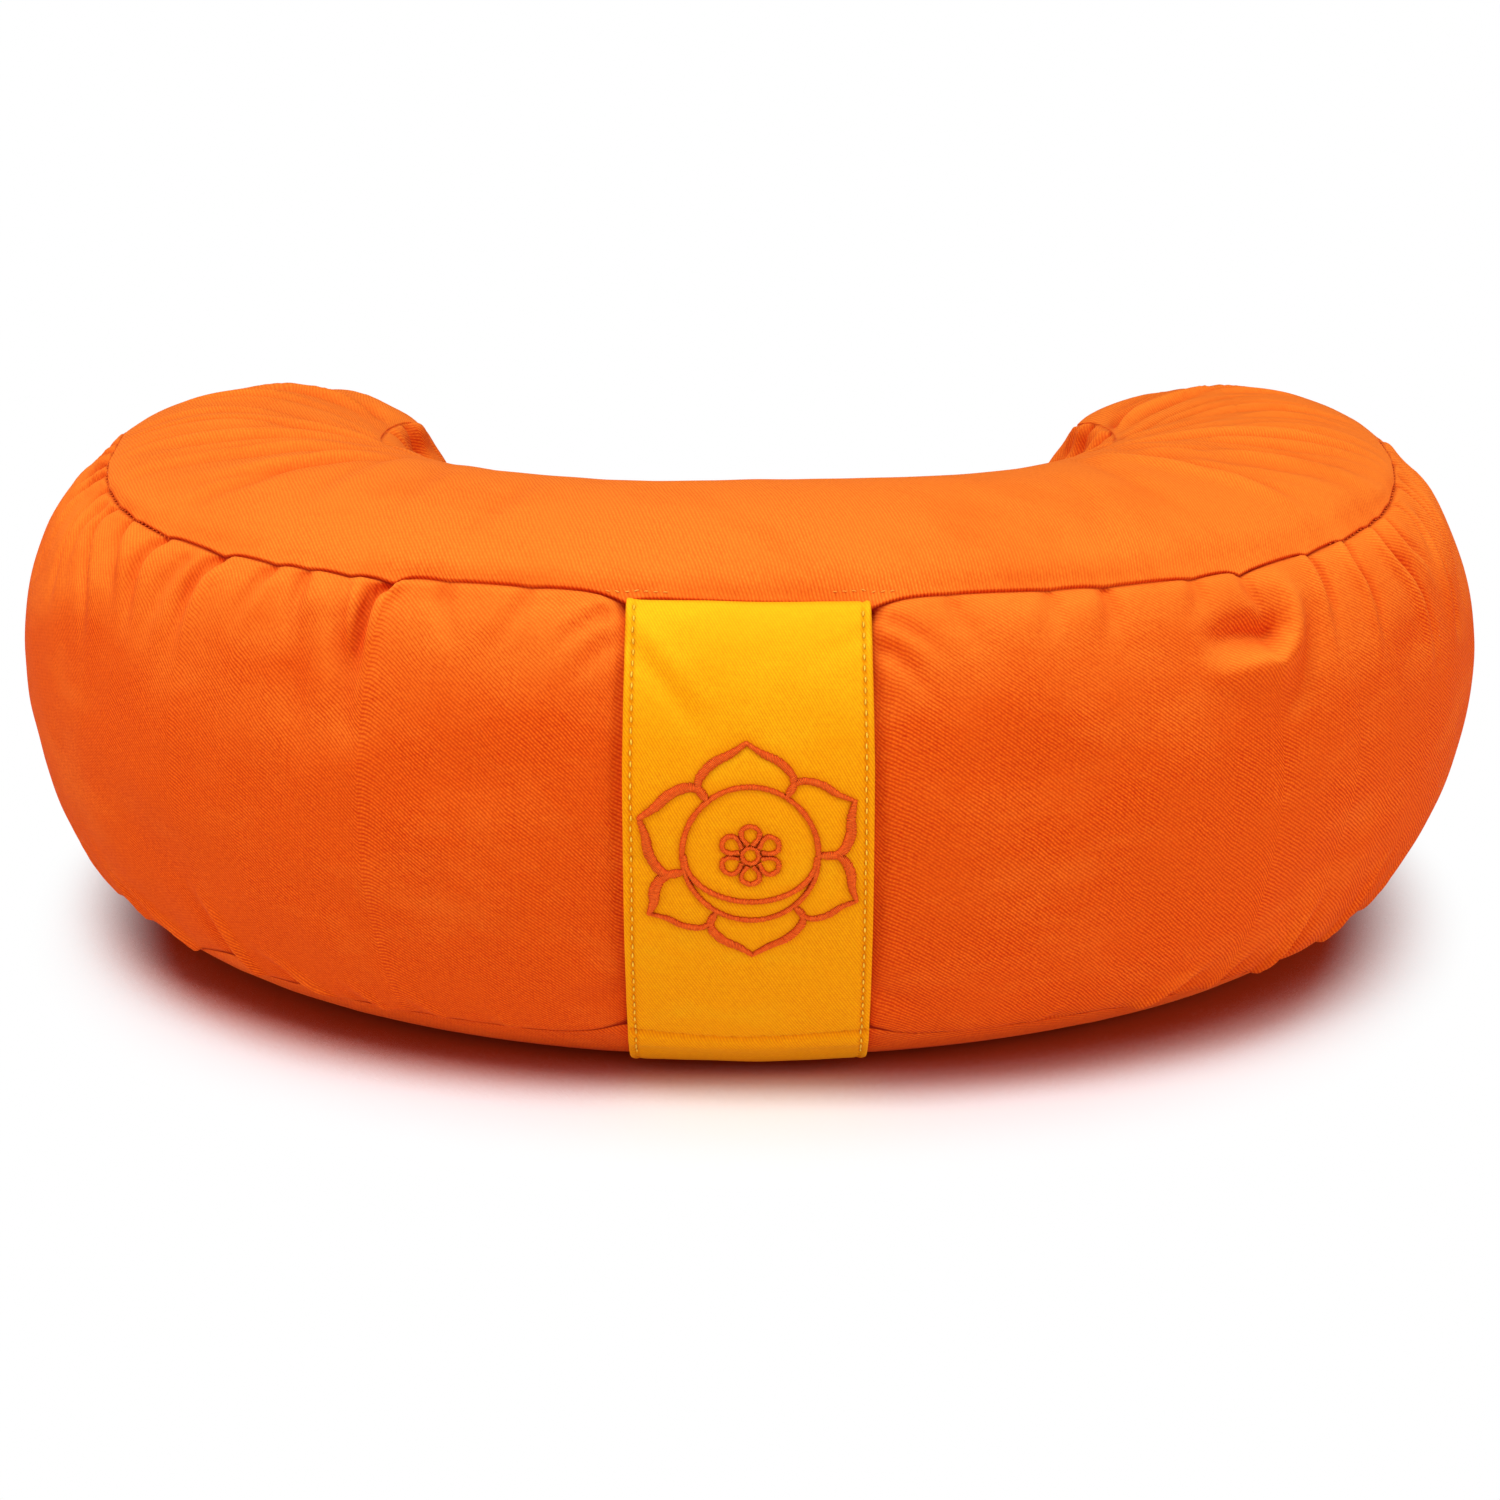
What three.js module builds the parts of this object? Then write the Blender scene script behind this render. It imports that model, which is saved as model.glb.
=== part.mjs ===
// A crescent meditation cushion: a husk-filled cover with a domed top panel, a bulging side wall and
// a base panel, and a flat cloth band sewn over the middle of its front wall.
// Millimetres, +Z up, +X across the width, the round front facing -Y and the two horns pointing +Y.
// The origin is under the middle of the cushion, on the surface that it rests on.
import * as THREE from "three";

// Plan: a centre line bent round an ellipse, with the seams a half-width to either side of it.
const LINE_RADIUS = 154; // of the centre line, measured across the width
const DEPTH_RATIO = 0.822; // the whole plan is this much shallower than a round one
const HORN_ANGLE = THREE.MathUtils.degToRad(99.7); // where the horn tips begin, from the front
const HALF_WIDTH_FRONT = 52.4;
const HALF_WIDTH_HORN = 49.7;
const NARROWING_POWER = 2.2; // how late the half-width changes on its way to the horns
const TIP_REACH = 0.88; // length of a rounded horn tip as a share of its half-width

// Heights above the resting surface.
const CROWN_HEIGHT = 160;
const CROWN_FALL = 3.5; // the crown is lower by this at the horns
const TOP_SEAM_HEIGHT = 140;
const TOP_SEAM_FALL = 1.2;
const BASE_SEAM_HEIGHT = 13.5;
const FLAT_START = 0.55; // share of the way from base seam to centre line where the base lies flat

// How far the filling pushes the side wall out past its seams.
const BULGE_FRONT = 23.9;
const BULGE_GAIN = 0.09; // the outer wall bulges more by this share at the horns
const BULGE_INNER = 17.9;
const BULGE_TIP = 7.5;

// Puckers where the gathered wall is sewn to the top seam, along the round front of the cushion.
const PUCKERS = [
  { angle: -60, width: 3.2, depth: 3.0, reach: 0.34 },
  { angle: -53, width: 3.0, depth: 3.0, reach: 0.3 },
  { angle: -45, width: 3.0, depth: 3.5, reach: 0.34 },
  { angle: -29, width: 3.2, depth: 5.5, reach: 0.5 },
  { angle: 37, width: 3.0, depth: 2.5, reach: 0.25 },
  { angle: 43, width: 3.2, depth: 6.5, reach: 0.4 },
  { angle: 51, width: 3.0, depth: 3.0, reach: 0.32 },
  { angle: 58, width: 3.2, depth: 3.0, reach: 0.36 },
];

// The carry band.
const BAND_WIDTH = 66;
const BAND_THICKNESS = 1.6;
const BAND_GAP = 0.5; // between the band and the cushion under it
const BAND_COLUMNS = 9;
const BAND_BASE_SHARES = [0.1, 0.2, 0.3]; // where it runs on under the base

// How finely the cushion is faceted.
const LINE_STEPS = 56;
const TIP_STEPS = 14;
const CROWN_SHARES = [0, 0.35, 0.62, 0.81, 0.92, 0.98];
const WALL_STEPS = 12;
const BASE_SHARES = [0, 0.08, 0.18, 0.3, 0.42, FLAT_START, 1];

function halfWidth(angle) {
  const share = Math.min(Math.abs(angle) / HORN_ANGLE, 1) ** NARROWING_POWER;
  return HALF_WIDTH_FRONT + (HALF_WIDTH_HORN - HALF_WIDTH_FRONT) * share;
}

// A station is one place on the seam's loop: a point of the centre line and the way out from it.
// turn runs from 0 on the round front wall, over a horn tip, to pi on the hollow inner wall.
function station(angle, turn) {
  const side = Math.sign(angle) || 1;
  const across = Math.cos(turn);
  const along = side * TIP_REACH * Math.sin(turn);
  const front = Math.cos(turn / 2) ** 2;
  const tip = Math.sin(turn) ** 2;
  const horn = (angle / HORN_ANGLE) ** 2;
  const outerBulge = BULGE_FRONT * (1 + BULGE_GAIN * horn);
  return {
    angle,
    turn,
    x: LINE_RADIUS * Math.sin(angle),
    y: -LINE_RADIUS * Math.cos(angle),
    outX: across * Math.sin(angle) + along * Math.cos(angle),
    outY: -across * Math.cos(angle) + along * Math.sin(angle),
    half: halfWidth(angle),
    bulge: outerBulge * front + BULGE_INNER * (1 - front) + BULGE_TIP * tip,
    horn,
  };
}

function seamStations() {
  const loop = [];
  const lineAngle = (step) => HORN_ANGLE * ((2 * step) / LINE_STEPS - 1);
  for (let i = 0; i < LINE_STEPS; i++) loop.push(station(lineAngle(i), 0));
  for (let i = 0; i < TIP_STEPS; i++) loop.push(station(HORN_ANGLE, (Math.PI * i) / TIP_STEPS));
  for (let i = LINE_STEPS; i > 0; i--) loop.push(station(lineAngle(i), Math.PI));
  for (let i = TIP_STEPS; i > 0; i--) loop.push(station(-HORN_ANGLE, (Math.PI * i) / TIP_STEPS));
  return loop;
}

function pointFrom(place, distance, height) {
  return new THREE.Vector3(
    place.x + place.outX * distance,
    (place.y + place.outY * distance) * DEPTH_RATIO,
    height,
  );
}

function topSeamHeight(place) {
  return TOP_SEAM_HEIGHT - TOP_SEAM_FALL * place.horn;
}

// share runs from 0 on the centre line to 1 at the top seam.
function crownPoint(place, share) {
  const seam = topSeamHeight(place);
  const rise = CROWN_HEIGHT - CROWN_FALL * place.horn - seam;
  return pointFrom(place, place.half * share, seam + rise * (1 - share ** 1.93) ** 0.586);
}

function puckerDepth(place, share) {
  if (place.turn !== 0) return 0;
  const degrees = THREE.MathUtils.radToDeg(place.angle);
  let depth = 0;
  for (const pucker of PUCKERS) {
    const sideways = ((degrees - pucker.angle) / pucker.width) ** 2;
    const down = (share / pucker.reach) ** 2;
    depth += pucker.depth * Math.exp(-sideways - down);
  }
  return depth;
}

// share runs from 0 at the top seam to 1 at the base seam.
function wallPoint(place, share) {
  const seam = topSeamHeight(place);
  const bow = (1 - Math.abs(2 * share ** 0.914 - 1) ** 2.02) ** 0.773;
  const dent = Math.min(puckerDepth(place, share), place.bulge * bow);
  const height = seam + (BASE_SEAM_HEIGHT - seam) * share;
  return pointFrom(place, place.half + place.bulge * bow - dent, height);
}

// share runs from 0 at the base seam to 1 on the centre line.
function basePoint(place, share) {
  const lift = Math.max(1 - share / FLAT_START, 0) ** 1.9;
  return pointFrom(place, place.half * (1 - share), BASE_SEAM_HEIGHT * lift);
}

function wallShares() {
  const shares = [];
  for (let i = 0; i < WALL_STEPS; i++) shares.push((1 - Math.cos((Math.PI * i) / WALL_STEPS)) / 2);
  return shares;
}

// Points that fall on one another become one vertex, and triangles that shrink to a line are left out.
function closedGeometry(points, triangles) {
  const found = new Map();
  const positions = [];
  const vertex = points.map((point) => {
    const key = point.toArray().map((value) => Math.round(value * 1000)).join();
    if (!found.has(key)) {
      found.set(key, positions.length / 3);
      positions.push(...point.toArray());
    }
    return found.get(key);
  });
  const index = [];
  for (const corners of triangles) {
    const [a, b, c] = corners.map((corner) => vertex[corner]);
    if (a !== b && b !== c && c !== a) index.push(a, b, c);
  }
  const geometry = new THREE.BufferGeometry();
  geometry.setAttribute("position", new THREE.Float32BufferAttribute(positions, 3));
  geometry.setIndex(index);
  geometry.computeVertexNormals();
  return geometry;
}

function cushionGeometry() {
  const loop = seamStations();
  const rings = [
    ...CROWN_SHARES.map((share) => loop.map((place) => crownPoint(place, share))),
    ...wallShares().map((share) => loop.map((place) => wallPoint(place, share))),
    ...BASE_SHARES.map((share) => loop.map((place) => basePoint(place, share))),
  ];
  const triangles = [];
  for (let ring = 0; ring + 1 < rings.length; ring++) {
    for (let i = 0; i < loop.length; i++) {
      const a = ring * loop.length + i;
      const b = ring * loop.length + ((i + 1) % loop.length);
      triangles.push([a, a + loop.length, b], [b, a + loop.length, b + loop.length]);
    }
  }
  return closedGeometry(rings.flat(), triangles);
}

// The front station whose skin point lies at the given x.
function stationAcross(x, skinPoint, share) {
  let place = station(0, 0);
  for (let pass = 0; pass < 6; pass++) {
    const reach = skinPoint(place, share);
    const radius = Math.hypot(reach.x, reach.y / DEPTH_RATIO);
    place = station(Math.asin(x / radius), 0);
  }
  return place;
}

function bandGeometry() {
  const stops = [
    ...wallShares().slice(1).map((share) => [wallPoint, share]),
    ...BAND_BASE_SHARES.map((share) => [basePoint, share]),
  ];
  const skin = [];
  for (const [skinPoint, share] of stops) {
    for (let column = 0; column < BAND_COLUMNS; column++) {
      const x = BAND_WIDTH * (column / (BAND_COLUMNS - 1) - 0.5);
      skin.push(skinPoint(stationAcross(x, skinPoint, share), share));
    }
  }
  const rows = stops.length;
  const at = (row, column) => row * BAND_COLUMNS + column;
  const lifted = (distance) =>
    skin.map((point, i) => {
      const row = Math.floor(i / BAND_COLUMNS);
      const column = i % BAND_COLUMNS;
      const left = skin[at(row, Math.max(column - 1, 0))];
      const right = skin[at(row, Math.min(column + 1, BAND_COLUMNS - 1))];
      const above = skin[at(Math.max(row - 1, 0), column)];
      const below = skin[at(Math.min(row + 1, rows - 1), column)];
      const acrossBand = right.clone().sub(left);
      const downBand = below.clone().sub(above);
      const outward = downBand.cross(acrossBand).normalize();
      return point.clone().addScaledVector(outward, distance);
    });
  const points = [...lifted(BAND_GAP + BAND_THICKNESS), ...lifted(BAND_GAP)];
  const under = skin.length;
  const triangles = [];
  const quad = (a, b, c, d) => triangles.push([a, b, c], [a, c, d]);
  for (let row = 0; row + 1 < rows; row++) {
    for (let column = 0; column + 1 < BAND_COLUMNS; column++) {
      const corners = [at(row, column), at(row + 1, column), at(row + 1, column + 1), at(row, column + 1)];
      quad(...corners);
      quad(...corners.map((corner) => corner + under).reverse());
    }
  }
  const edge = (a, b) => quad(a, b, b + under, a + under);
  for (let row = 0; row + 1 < rows; row++) {
    edge(at(row + 1, 0), at(row, 0));
    edge(at(row, BAND_COLUMNS - 1), at(row + 1, BAND_COLUMNS - 1));
  }
  for (let column = 0; column + 1 < BAND_COLUMNS; column++) {
    edge(at(0, column), at(0, column + 1));
    edge(at(rows - 1, column + 1), at(rows - 1, column));
  }
  return closedGeometry(points, triangles);
}

const orangeTwill = new THREE.MeshStandardMaterial({ color: 0xe8611b, roughness: 0.9, metalness: 0 });
const yellowTwill = new THREE.MeshStandardMaterial({ color: 0xf6b61c, roughness: 0.85, metalness: 0 });

const cushion = new THREE.Mesh(cushionGeometry(), orangeTwill);
cushion.name = "cushion";

const handleBand = new THREE.Mesh(bandGeometry(), yellowTwill);
handleBand.name = "handle_band";

// The shapes are worked out round the middle of the ellipse, and moved here over the origin.
const shapes = new THREE.Group();
shapes.add(cushion, handleBand);
const box = new THREE.Box3().setFromObject(shapes);
shapes.position.y = -(box.min.y + box.max.y) / 2;

export default shapes;
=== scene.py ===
import math

import bmesh
import bpy
import numpy as np
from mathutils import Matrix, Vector, noise


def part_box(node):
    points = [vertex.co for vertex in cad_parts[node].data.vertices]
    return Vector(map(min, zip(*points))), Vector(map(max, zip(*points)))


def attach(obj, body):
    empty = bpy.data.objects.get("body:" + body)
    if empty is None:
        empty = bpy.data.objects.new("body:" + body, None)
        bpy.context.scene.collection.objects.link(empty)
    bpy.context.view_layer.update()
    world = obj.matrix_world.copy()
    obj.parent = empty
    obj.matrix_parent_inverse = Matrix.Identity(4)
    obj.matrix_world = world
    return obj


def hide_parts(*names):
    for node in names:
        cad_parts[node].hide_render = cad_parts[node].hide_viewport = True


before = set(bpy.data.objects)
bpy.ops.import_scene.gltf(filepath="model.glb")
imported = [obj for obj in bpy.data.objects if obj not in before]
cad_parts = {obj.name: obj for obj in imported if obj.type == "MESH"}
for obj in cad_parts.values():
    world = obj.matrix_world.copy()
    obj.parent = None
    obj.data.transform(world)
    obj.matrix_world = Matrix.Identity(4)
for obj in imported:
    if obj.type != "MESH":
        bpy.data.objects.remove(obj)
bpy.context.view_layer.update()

MM = 0.001
RANDOM = np.random.default_rng(7)

# The plan and heights of the cushion, as in the part's source.
LINE_RADIUS = 154.0  # of the crescent's middle line, across the width
DEPTH_RATIO = 0.822  # the whole plan is this much shallower than a round one
HORN_ANGLE = math.radians(99.7)  # where the horn tips begin, from the front
HALF_WIDTH_FRONT = 52.4
HALF_WIDTH_HORN = 49.7
NARROWING_POWER = 2.2
TIP_REACH = 0.88  # length of a rounded horn tip as a share of its half width
CROWN_HEIGHT = 160.0
CROWN_FALL = 3.5  # how much lower the crown is at the horns
CROWN_FLATNESS = 1.93  # powers in the crown's section: how flat its top is, and how it turns to the seam
CROWN_TURN = 0.586
TOP_SEAM_HEIGHT = 140.0
TOP_SEAM_FALL = 1.2
BASE_SEAM_HEIGHT = 13.5
FLAT_START = 0.55  # share of the way from base seam to middle line where the base lies flat
BASE_TURN = 1.9
BULGE_FRONT = 23.9  # how far the filling pushes the wall out past its seams
BULGE_GAIN = 0.09
BULGE_INNER = 17.9
BULGE_TIP = 7.5
WALL_FULLEST = 0.914  # powers in the wall's section: how high it is fullest, and how it turns to the seams
WALL_FLATNESS = 2.02
WALL_TURN = 0.773

# How finely the cushion is meshed: columns round the loop, and rows down each panel. The inner side of the
# crescent is shorter, and has half as many columns as the outer side.
LINE_STEPS = 492
TIP_STEPS = 66
FRONT_FINER = 0.1  # how much closer than even the columns lie at the middle of the front
SEAM_ROWS = [0, 0.3, 0.65, 1.1, 1.7, 2.5, 3.4, 4.6, 6.2]  # mm from a seam, beside which rows lie close
CROWN_ROWS = 17
WALL_ROWS = 58
BASE_ROWS = 6
CROWN_SAMPLES = 60  # steps of the plain section over crown, wall and base, between which rows are placed
WALL_SAMPLES = 140
BASE_SAMPLES = 40


def table(columns, *rows):
    """Rows by name: the columns are named once, and a row may leave out its last ones."""
    return [dict(zip(columns.split(), row)) for row in rows]


# ---------------------------------------------------------------- the plain crescent


class Stations:
    """Places round the seam's loop: points of the centre line, and the way out from it to the seam."""

    def __init__(self, angle, turn):
        side = np.where(angle < 0, -1.0, 1.0)
        across = np.cos(turn)
        along = side * TIP_REACH * np.sin(turn)
        front = np.cos(turn / 2) ** 2
        self.horn = (angle / HORN_ANGLE) ** 2
        self.x = LINE_RADIUS * np.sin(angle)
        self.y = -LINE_RADIUS * np.cos(angle)
        self.out_x = across * np.sin(angle) + along * np.cos(angle)
        self.out_y = -across * np.cos(angle) + along * np.sin(angle)
        narrowing = np.minimum(np.abs(angle) / HORN_ANGLE, 1) ** NARROWING_POWER
        self.half = HALF_WIDTH_FRONT + (HALF_WIDTH_HORN - HALF_WIDTH_FRONT) * narrowing
        outer = BULGE_FRONT * (1 + BULGE_GAIN * self.horn)
        self.bulge = outer * front + BULGE_INNER * (1 - front) + BULGE_TIP * np.sin(turn) ** 2
        self.seam = TOP_SEAM_HEIGHT - TOP_SEAM_FALL * self.horn

    def points(self, distance, height):
        height = height + np.zeros_like(self.x)
        y = (self.y + self.out_y * distance) * DEPTH_RATIO
        return np.stack([self.x + self.out_x * distance, y, height], axis=-1)


def loop_stations(line_steps=LINE_STEPS, tip_steps=TIP_STEPS):
    share = 2 * np.arange(line_steps) / line_steps - 1
    line = HORN_ANGLE * share * (1 - FRONT_FINER + FRONT_FINER * share**2)
    inner = -line[::2]
    tip = np.pi * np.arange(tip_steps) / tip_steps
    angle = [line, np.full(tip_steps, HORN_ANGLE), inner, np.full(tip_steps, -HORN_ANGLE)]
    turn = [np.zeros(line_steps), tip, np.full(line_steps // 2, np.pi), np.pi - tip]
    return Stations(np.concatenate(angle), np.concatenate(turn))


def crown_points(places, share):
    rise = CROWN_HEIGHT - CROWN_FALL * places.horn - places.seam
    height = places.seam + rise * (1 - share**CROWN_FLATNESS) ** CROWN_TURN
    return places.points(places.half * share, height)


def wall_points(places, share):
    bow = (1 - np.abs(2 * share**WALL_FULLEST - 1) ** WALL_FLATNESS) ** WALL_TURN
    height = places.seam + (BASE_SEAM_HEIGHT - places.seam) * share
    return places.points(places.half + places.bulge * bow, height)


def base_points(places, share):
    lift = np.maximum(1 - share / FLAT_START, 0) ** BASE_TURN
    return places.points(places.half * (1 - share), BASE_SEAM_HEIGHT * lift)


def row_distances(points):
    """How far each grid point lies down its column from the first row."""
    steps = np.linalg.norm(np.diff(points, axis=0), axis=-1)
    return np.concatenate([np.zeros((1, points.shape[1])), np.cumsum(steps, axis=0)])


def smooth_sections(places):
    """The cushion's section at each station, from the top over crown, wall and base to the middle below.

    Gives the points, the distance down each column, and the distances at which the two seams lie.
    """
    crown_shares = np.sin(np.pi / 2 * np.arange(CROWN_SAMPLES + 1) / CROWN_SAMPLES)
    wall_shares = (1 - np.cos(np.pi * np.arange(WALL_SAMPLES + 1) / WALL_SAMPLES)) / 2
    base_shares = FLAT_START * (np.arange(BASE_SAMPLES + 1) / BASE_SAMPLES) ** 1.25
    base_shares = np.concatenate([base_shares, [0.8, 1]])
    crown = np.array([crown_points(places, share) for share in crown_shares])
    wall = np.array([wall_points(places, share) for share in wall_shares])
    base = np.array([base_points(places, share) for share in base_shares])
    points = np.concatenate([crown[:-1], wall[:-1], base])
    distance = row_distances(points)
    return points, distance, distance[CROWN_SAMPLES], distance[CROWN_SAMPLES + WALL_SAMPLES]


def settled(points, whole):
    """The points moved in depth, so that the whole cushion lies at the middle of its packed box."""
    low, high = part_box("cushion")
    middle = (whole[..., 1].min() + whole[..., 1].max()) / 2
    return points + [0, (low.y + high.y) / 2 / MM - middle, 0]


def resample(points, distance, wanted):
    """Points at the wanted distances down each column."""
    found = np.zeros(wanted.shape + (3,))
    for column in range(points.shape[1]):
        place, known = wanted[:, column], distance[:, column]
        for axis in range(3):
            found[:, column, axis] = np.interp(place, known, points[:, column, axis])
    return found


def soften(points, distance, centre, reach):
    """Rounds each column off about a distance down it."""
    shifts = np.linspace(-reach, reach, 9)
    moved = [resample(points, distance, np.clip(distance + away, 0, distance[-1])) for away in shifts]
    share = bell(distance - centre, 1.3 * reach)[..., None]
    return points + share * (np.mean(moved, axis=0) - points)


def rows_between(start, end, even_rows, fine_start, fine_end):
    """Distances for a panel's rows, close together beside each seam and even between."""
    near = np.array(SEAM_ROWS)[:, None]
    first = start + (near[-1, 0] if fine_start else 0)
    last = end - (near[-1, 0] if fine_end else 0)
    even = first + (last - first) * (np.arange(1, even_rows) / even_rows)[:, None]
    low = start + near if fine_start else start[None]
    high = end - near[::-1] if fine_end else end[None]
    return np.concatenate([low, even, high])


def grid_normals(points, closed=True):
    """Outward normals of a grid of points; closed says that its columns join into a loop."""
    if closed:
        round_loop = np.roll(points, -1, axis=1) - np.roll(points, 1, axis=1)
    else:
        round_loop = np.gradient(points, axis=1)
    down = np.gradient(points, axis=0)
    normal = np.cross(down, round_loop)
    length = np.linalg.norm(normal, axis=-1, keepdims=True)
    return np.where(length > 1e-9, normal / np.maximum(length, 1e-9), [0, 0, 1])


def smoothstep(low, high, value):
    share = np.clip((value - low) / (high - low), 0, 1)
    return share * share * (3 - 2 * share)


def bell(value, width):
    return np.exp(-((value / width) ** 2))


def curve_through(knots, step):
    """Places along a smooth curve through knots, each a tuple, about step apart in the first two values."""
    knots = np.array(knots, dtype=float)
    ends = np.concatenate([[2 * knots[0] - knots[1]], knots, [2 * knots[-1] - knots[-2]]])
    found = []
    for a, b, c, d in zip(ends, ends[1:], ends[2:], ends[3:]):
        t = np.linspace(0, 1, 24, endpoint=False)[:, None]
        found.append(0.5 * (2 * b + (c - a) * t + (2 * a - 5 * b + 4 * c - d) * t**2
                            + (3 * b - a - 3 * c + d) * t**3))
    found = np.concatenate(found + [knots[-1:]])
    length = np.concatenate([[0], np.cumsum(np.linalg.norm(np.diff(found[:, :2], axis=0), axis=1))])
    even = np.linspace(0, length[-1], max(int(length[-1] / step), 2) + 1)
    return np.stack([np.interp(even, length, found[:, k]) for k in range(found.shape[1])], axis=1)


class Panel:
    """One sewn panel: a grid of points with flat cloth coordinates, and how far each point is lifted.

    crease says how deep in a fold each point lies: above 0 in a trough, below 0 on a ridge.
    The cloth's colour reads it as painted shade in the troughs and a painted highlight on the ridges.
    """

    def __init__(self, points, across, down, loop=None, closed=True):
        self.points = points
        self.across = across
        self.down = down
        self.loop = loop
        self.normals = grid_normals(points, closed)
        self.lift = np.zeros(points.shape[:2])
        self.crease = np.zeros(points.shape[:2])

    def shaped(self):
        return self.points + self.normals * self.lift[..., None]

    def offset(self, place):
        """Signed distance across the cloth from a place, the short way round a closed loop."""
        away = self.across - place
        if self.loop:
            away = (away + self.loop / 2) % self.loop - self.loop / 2
        return away

    def fold(self, line, width, depth, lip=0.0, fade="start", tone=1.0):
        """A soft trough along a smooth line through knots, or a ridge where depth is negative.

        lip adds the opposite beside it, as a share of its depth: on the left of a line that runs down, or
        on the right where lip is negative. fade says where the fold is deepest: at its start, or in the
        middle with both ends fading. tone is how strong the painted shade in its trough and the painted
        highlight on its ridge are.
        """
        start = line[0]
        line = curve_through(line, 1.5)
        across, down = self.offset(start[0]), self.down
        margin = 4 * width
        low = line.min(axis=0) - [start[0], 0] - margin
        high = line.max(axis=0) - [start[0], 0] + margin
        near = (across > low[0]) & (across < high[0]) & (down > low[1]) & (down < high[1])
        if not near.any():
            return
        point = np.stack([across[near] + start[0], down[near]], axis=-1)
        best = np.full(len(point), 1e9)
        side = np.zeros(len(point))
        place = np.zeros(len(point))
        for i in range(len(line) - 1):
            step = line[i + 1] - line[i]
            away = point - line[i]
            along = np.clip(away @ step / (step @ step), 0, 1)
            rest = away - along[:, None] * step
            distance = np.hypot(rest[:, 0], rest[:, 1])
            closer = distance < best
            best[closer] = distance[closer]
            turn = step[0] * away[:, 1] - step[1] * away[:, 0]
            side[closer] = np.where(turn[closer] > 0, 1, -1)
            place[closer] = (i + along[closer]) / (len(line) - 1)
        if fade == "start":
            strength = (1 - smoothstep(0.25, 1, place)) * smoothstep(-0.02, 0.08, place + 0.03)
        else:
            strength = np.sin(np.pi * np.clip(place, 0.001, 0.999)) ** 0.8
        trough = -bell(best, width)
        ridge = abs(lip) * bell(math.copysign(1, lip) * side * best - 2.0 * width, 1.5 * width)
        self.lift[near] += depth * strength * (trough + ridge)
        # crease: painted shade in the trough and painted highlight on the ridge, read by the cloth's colour
        self.crease[near] -= tone * depth / width * strength * (trough + 0.6 * ridge)


def lumps(points, size, seed):
    """Smooth noise in -1..1 at each point, with features about as large as size, in mm."""
    flat = points.reshape(-1, 3) / size + seed
    return np.array([noise.noise(Vector(p)) for p in flat]).reshape(points.shape[:2])


class Surface:
    """A finished grid of points, on which small things are laid by place along it and distance down."""

    def __init__(self, points, places, distance, loop=None, closed=True):
        self.points = points
        self.normals = grid_normals(points, closed)
        self.places = places
        self.distance = distance
        self.loop = loop

    def at(self, place, down, height=0.0):
        """The point at a place along and a distance down, raised by height, and the normal there."""
        columns = len(self.places)
        if self.loop:
            place = self.places[0] + (place - self.places[0]) % self.loop
        column = float(np.interp(place, self.places, np.arange(columns)))
        left = int(column)
        right = (left + 1) % columns if self.loop else min(left + 1, columns - 1)
        found = np.zeros(6)
        for index, share in ((left, 1 - column + left), (right, column - left)):
            row = float(np.interp(down, self.distance[:, index], np.arange(len(self.distance))))
            above = min(int(row), len(self.distance) - 2)
            part = row - above
            point = (1 - part) * self.points[above, index] + part * self.points[above + 1, index]
            normal = (1 - part) * self.normals[above, index] + part * self.normals[above + 1, index]
            found += share * np.concatenate([point, normal])
        normal = found[3:] / np.linalg.norm(found[3:])
        return found[:3] + height * normal, normal


# ---------------------------------------------------------------- meshes


def new_piece(name, points, faces, material):
    """A smooth-shaded object from points in mm."""
    mesh = bpy.data.meshes.new(name)
    mesh.from_pydata((np.asarray(points) * MM).tolist(), [], faces)
    mesh.shade_smooth()
    mesh.materials.append(material)
    piece = bpy.data.objects.new(name, mesh)
    bpy.context.scene.collection.objects.link(piece)
    return piece


def tubes(name, threads, sides, material):
    """One piece of many short closed tubes. Each thread is a list of (point, normal, radius)."""
    points, faces = [], []
    turns = [math.tau * k / sides for k in range(sides)]
    for thread in threads:
        first = len(points)
        line = np.array([spot[0] for spot in thread])
        along = np.gradient(line, axis=0)
        for (point, normal, radius), direction in zip(thread, along):
            direction = direction / max(np.linalg.norm(direction), 1e-9)
            side = np.cross(direction, normal)
            side = side / max(np.linalg.norm(side), 1e-9)
            up = np.cross(side, direction)
            points += [point + radius * (math.cos(turn) * side + math.sin(turn) * up) for turn in turns]
        for ring in range(len(thread) - 1):
            a = first + ring * sides
            for k in range(sides):
                following = (k + 1) % sides
                faces.append((a + k, a + following, a + sides + following, a + sides + k))
        last = first + (len(thread) - 1) * sides
        faces.append(tuple(first + k for k in reversed(range(sides))))
        faces.append(tuple(last + k for k in range(sides)))
    return new_piece(name, points, faces, material)


def stitch(surface, start, end, radius, proud, steps=6):
    """A sewing stitch from start to end, each (place, down), whose ends sink into the cloth."""
    thread = []
    for t in np.linspace(0, 1, steps):
        arch = math.sin(math.pi * t) ** 0.5
        height = -0.6 * radius + (proud + 0.6 * radius) * arch
        place = start[0] + (end[0] - start[0]) * t
        point, normal = surface.at(place, start[1] + (end[1] - start[1]) * t, height)
        thread.append((point, normal, radius * (0.55 + 0.45 * arch)))
    return thread


# ---------------------------------------------------------------- the cushion's folds

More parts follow.
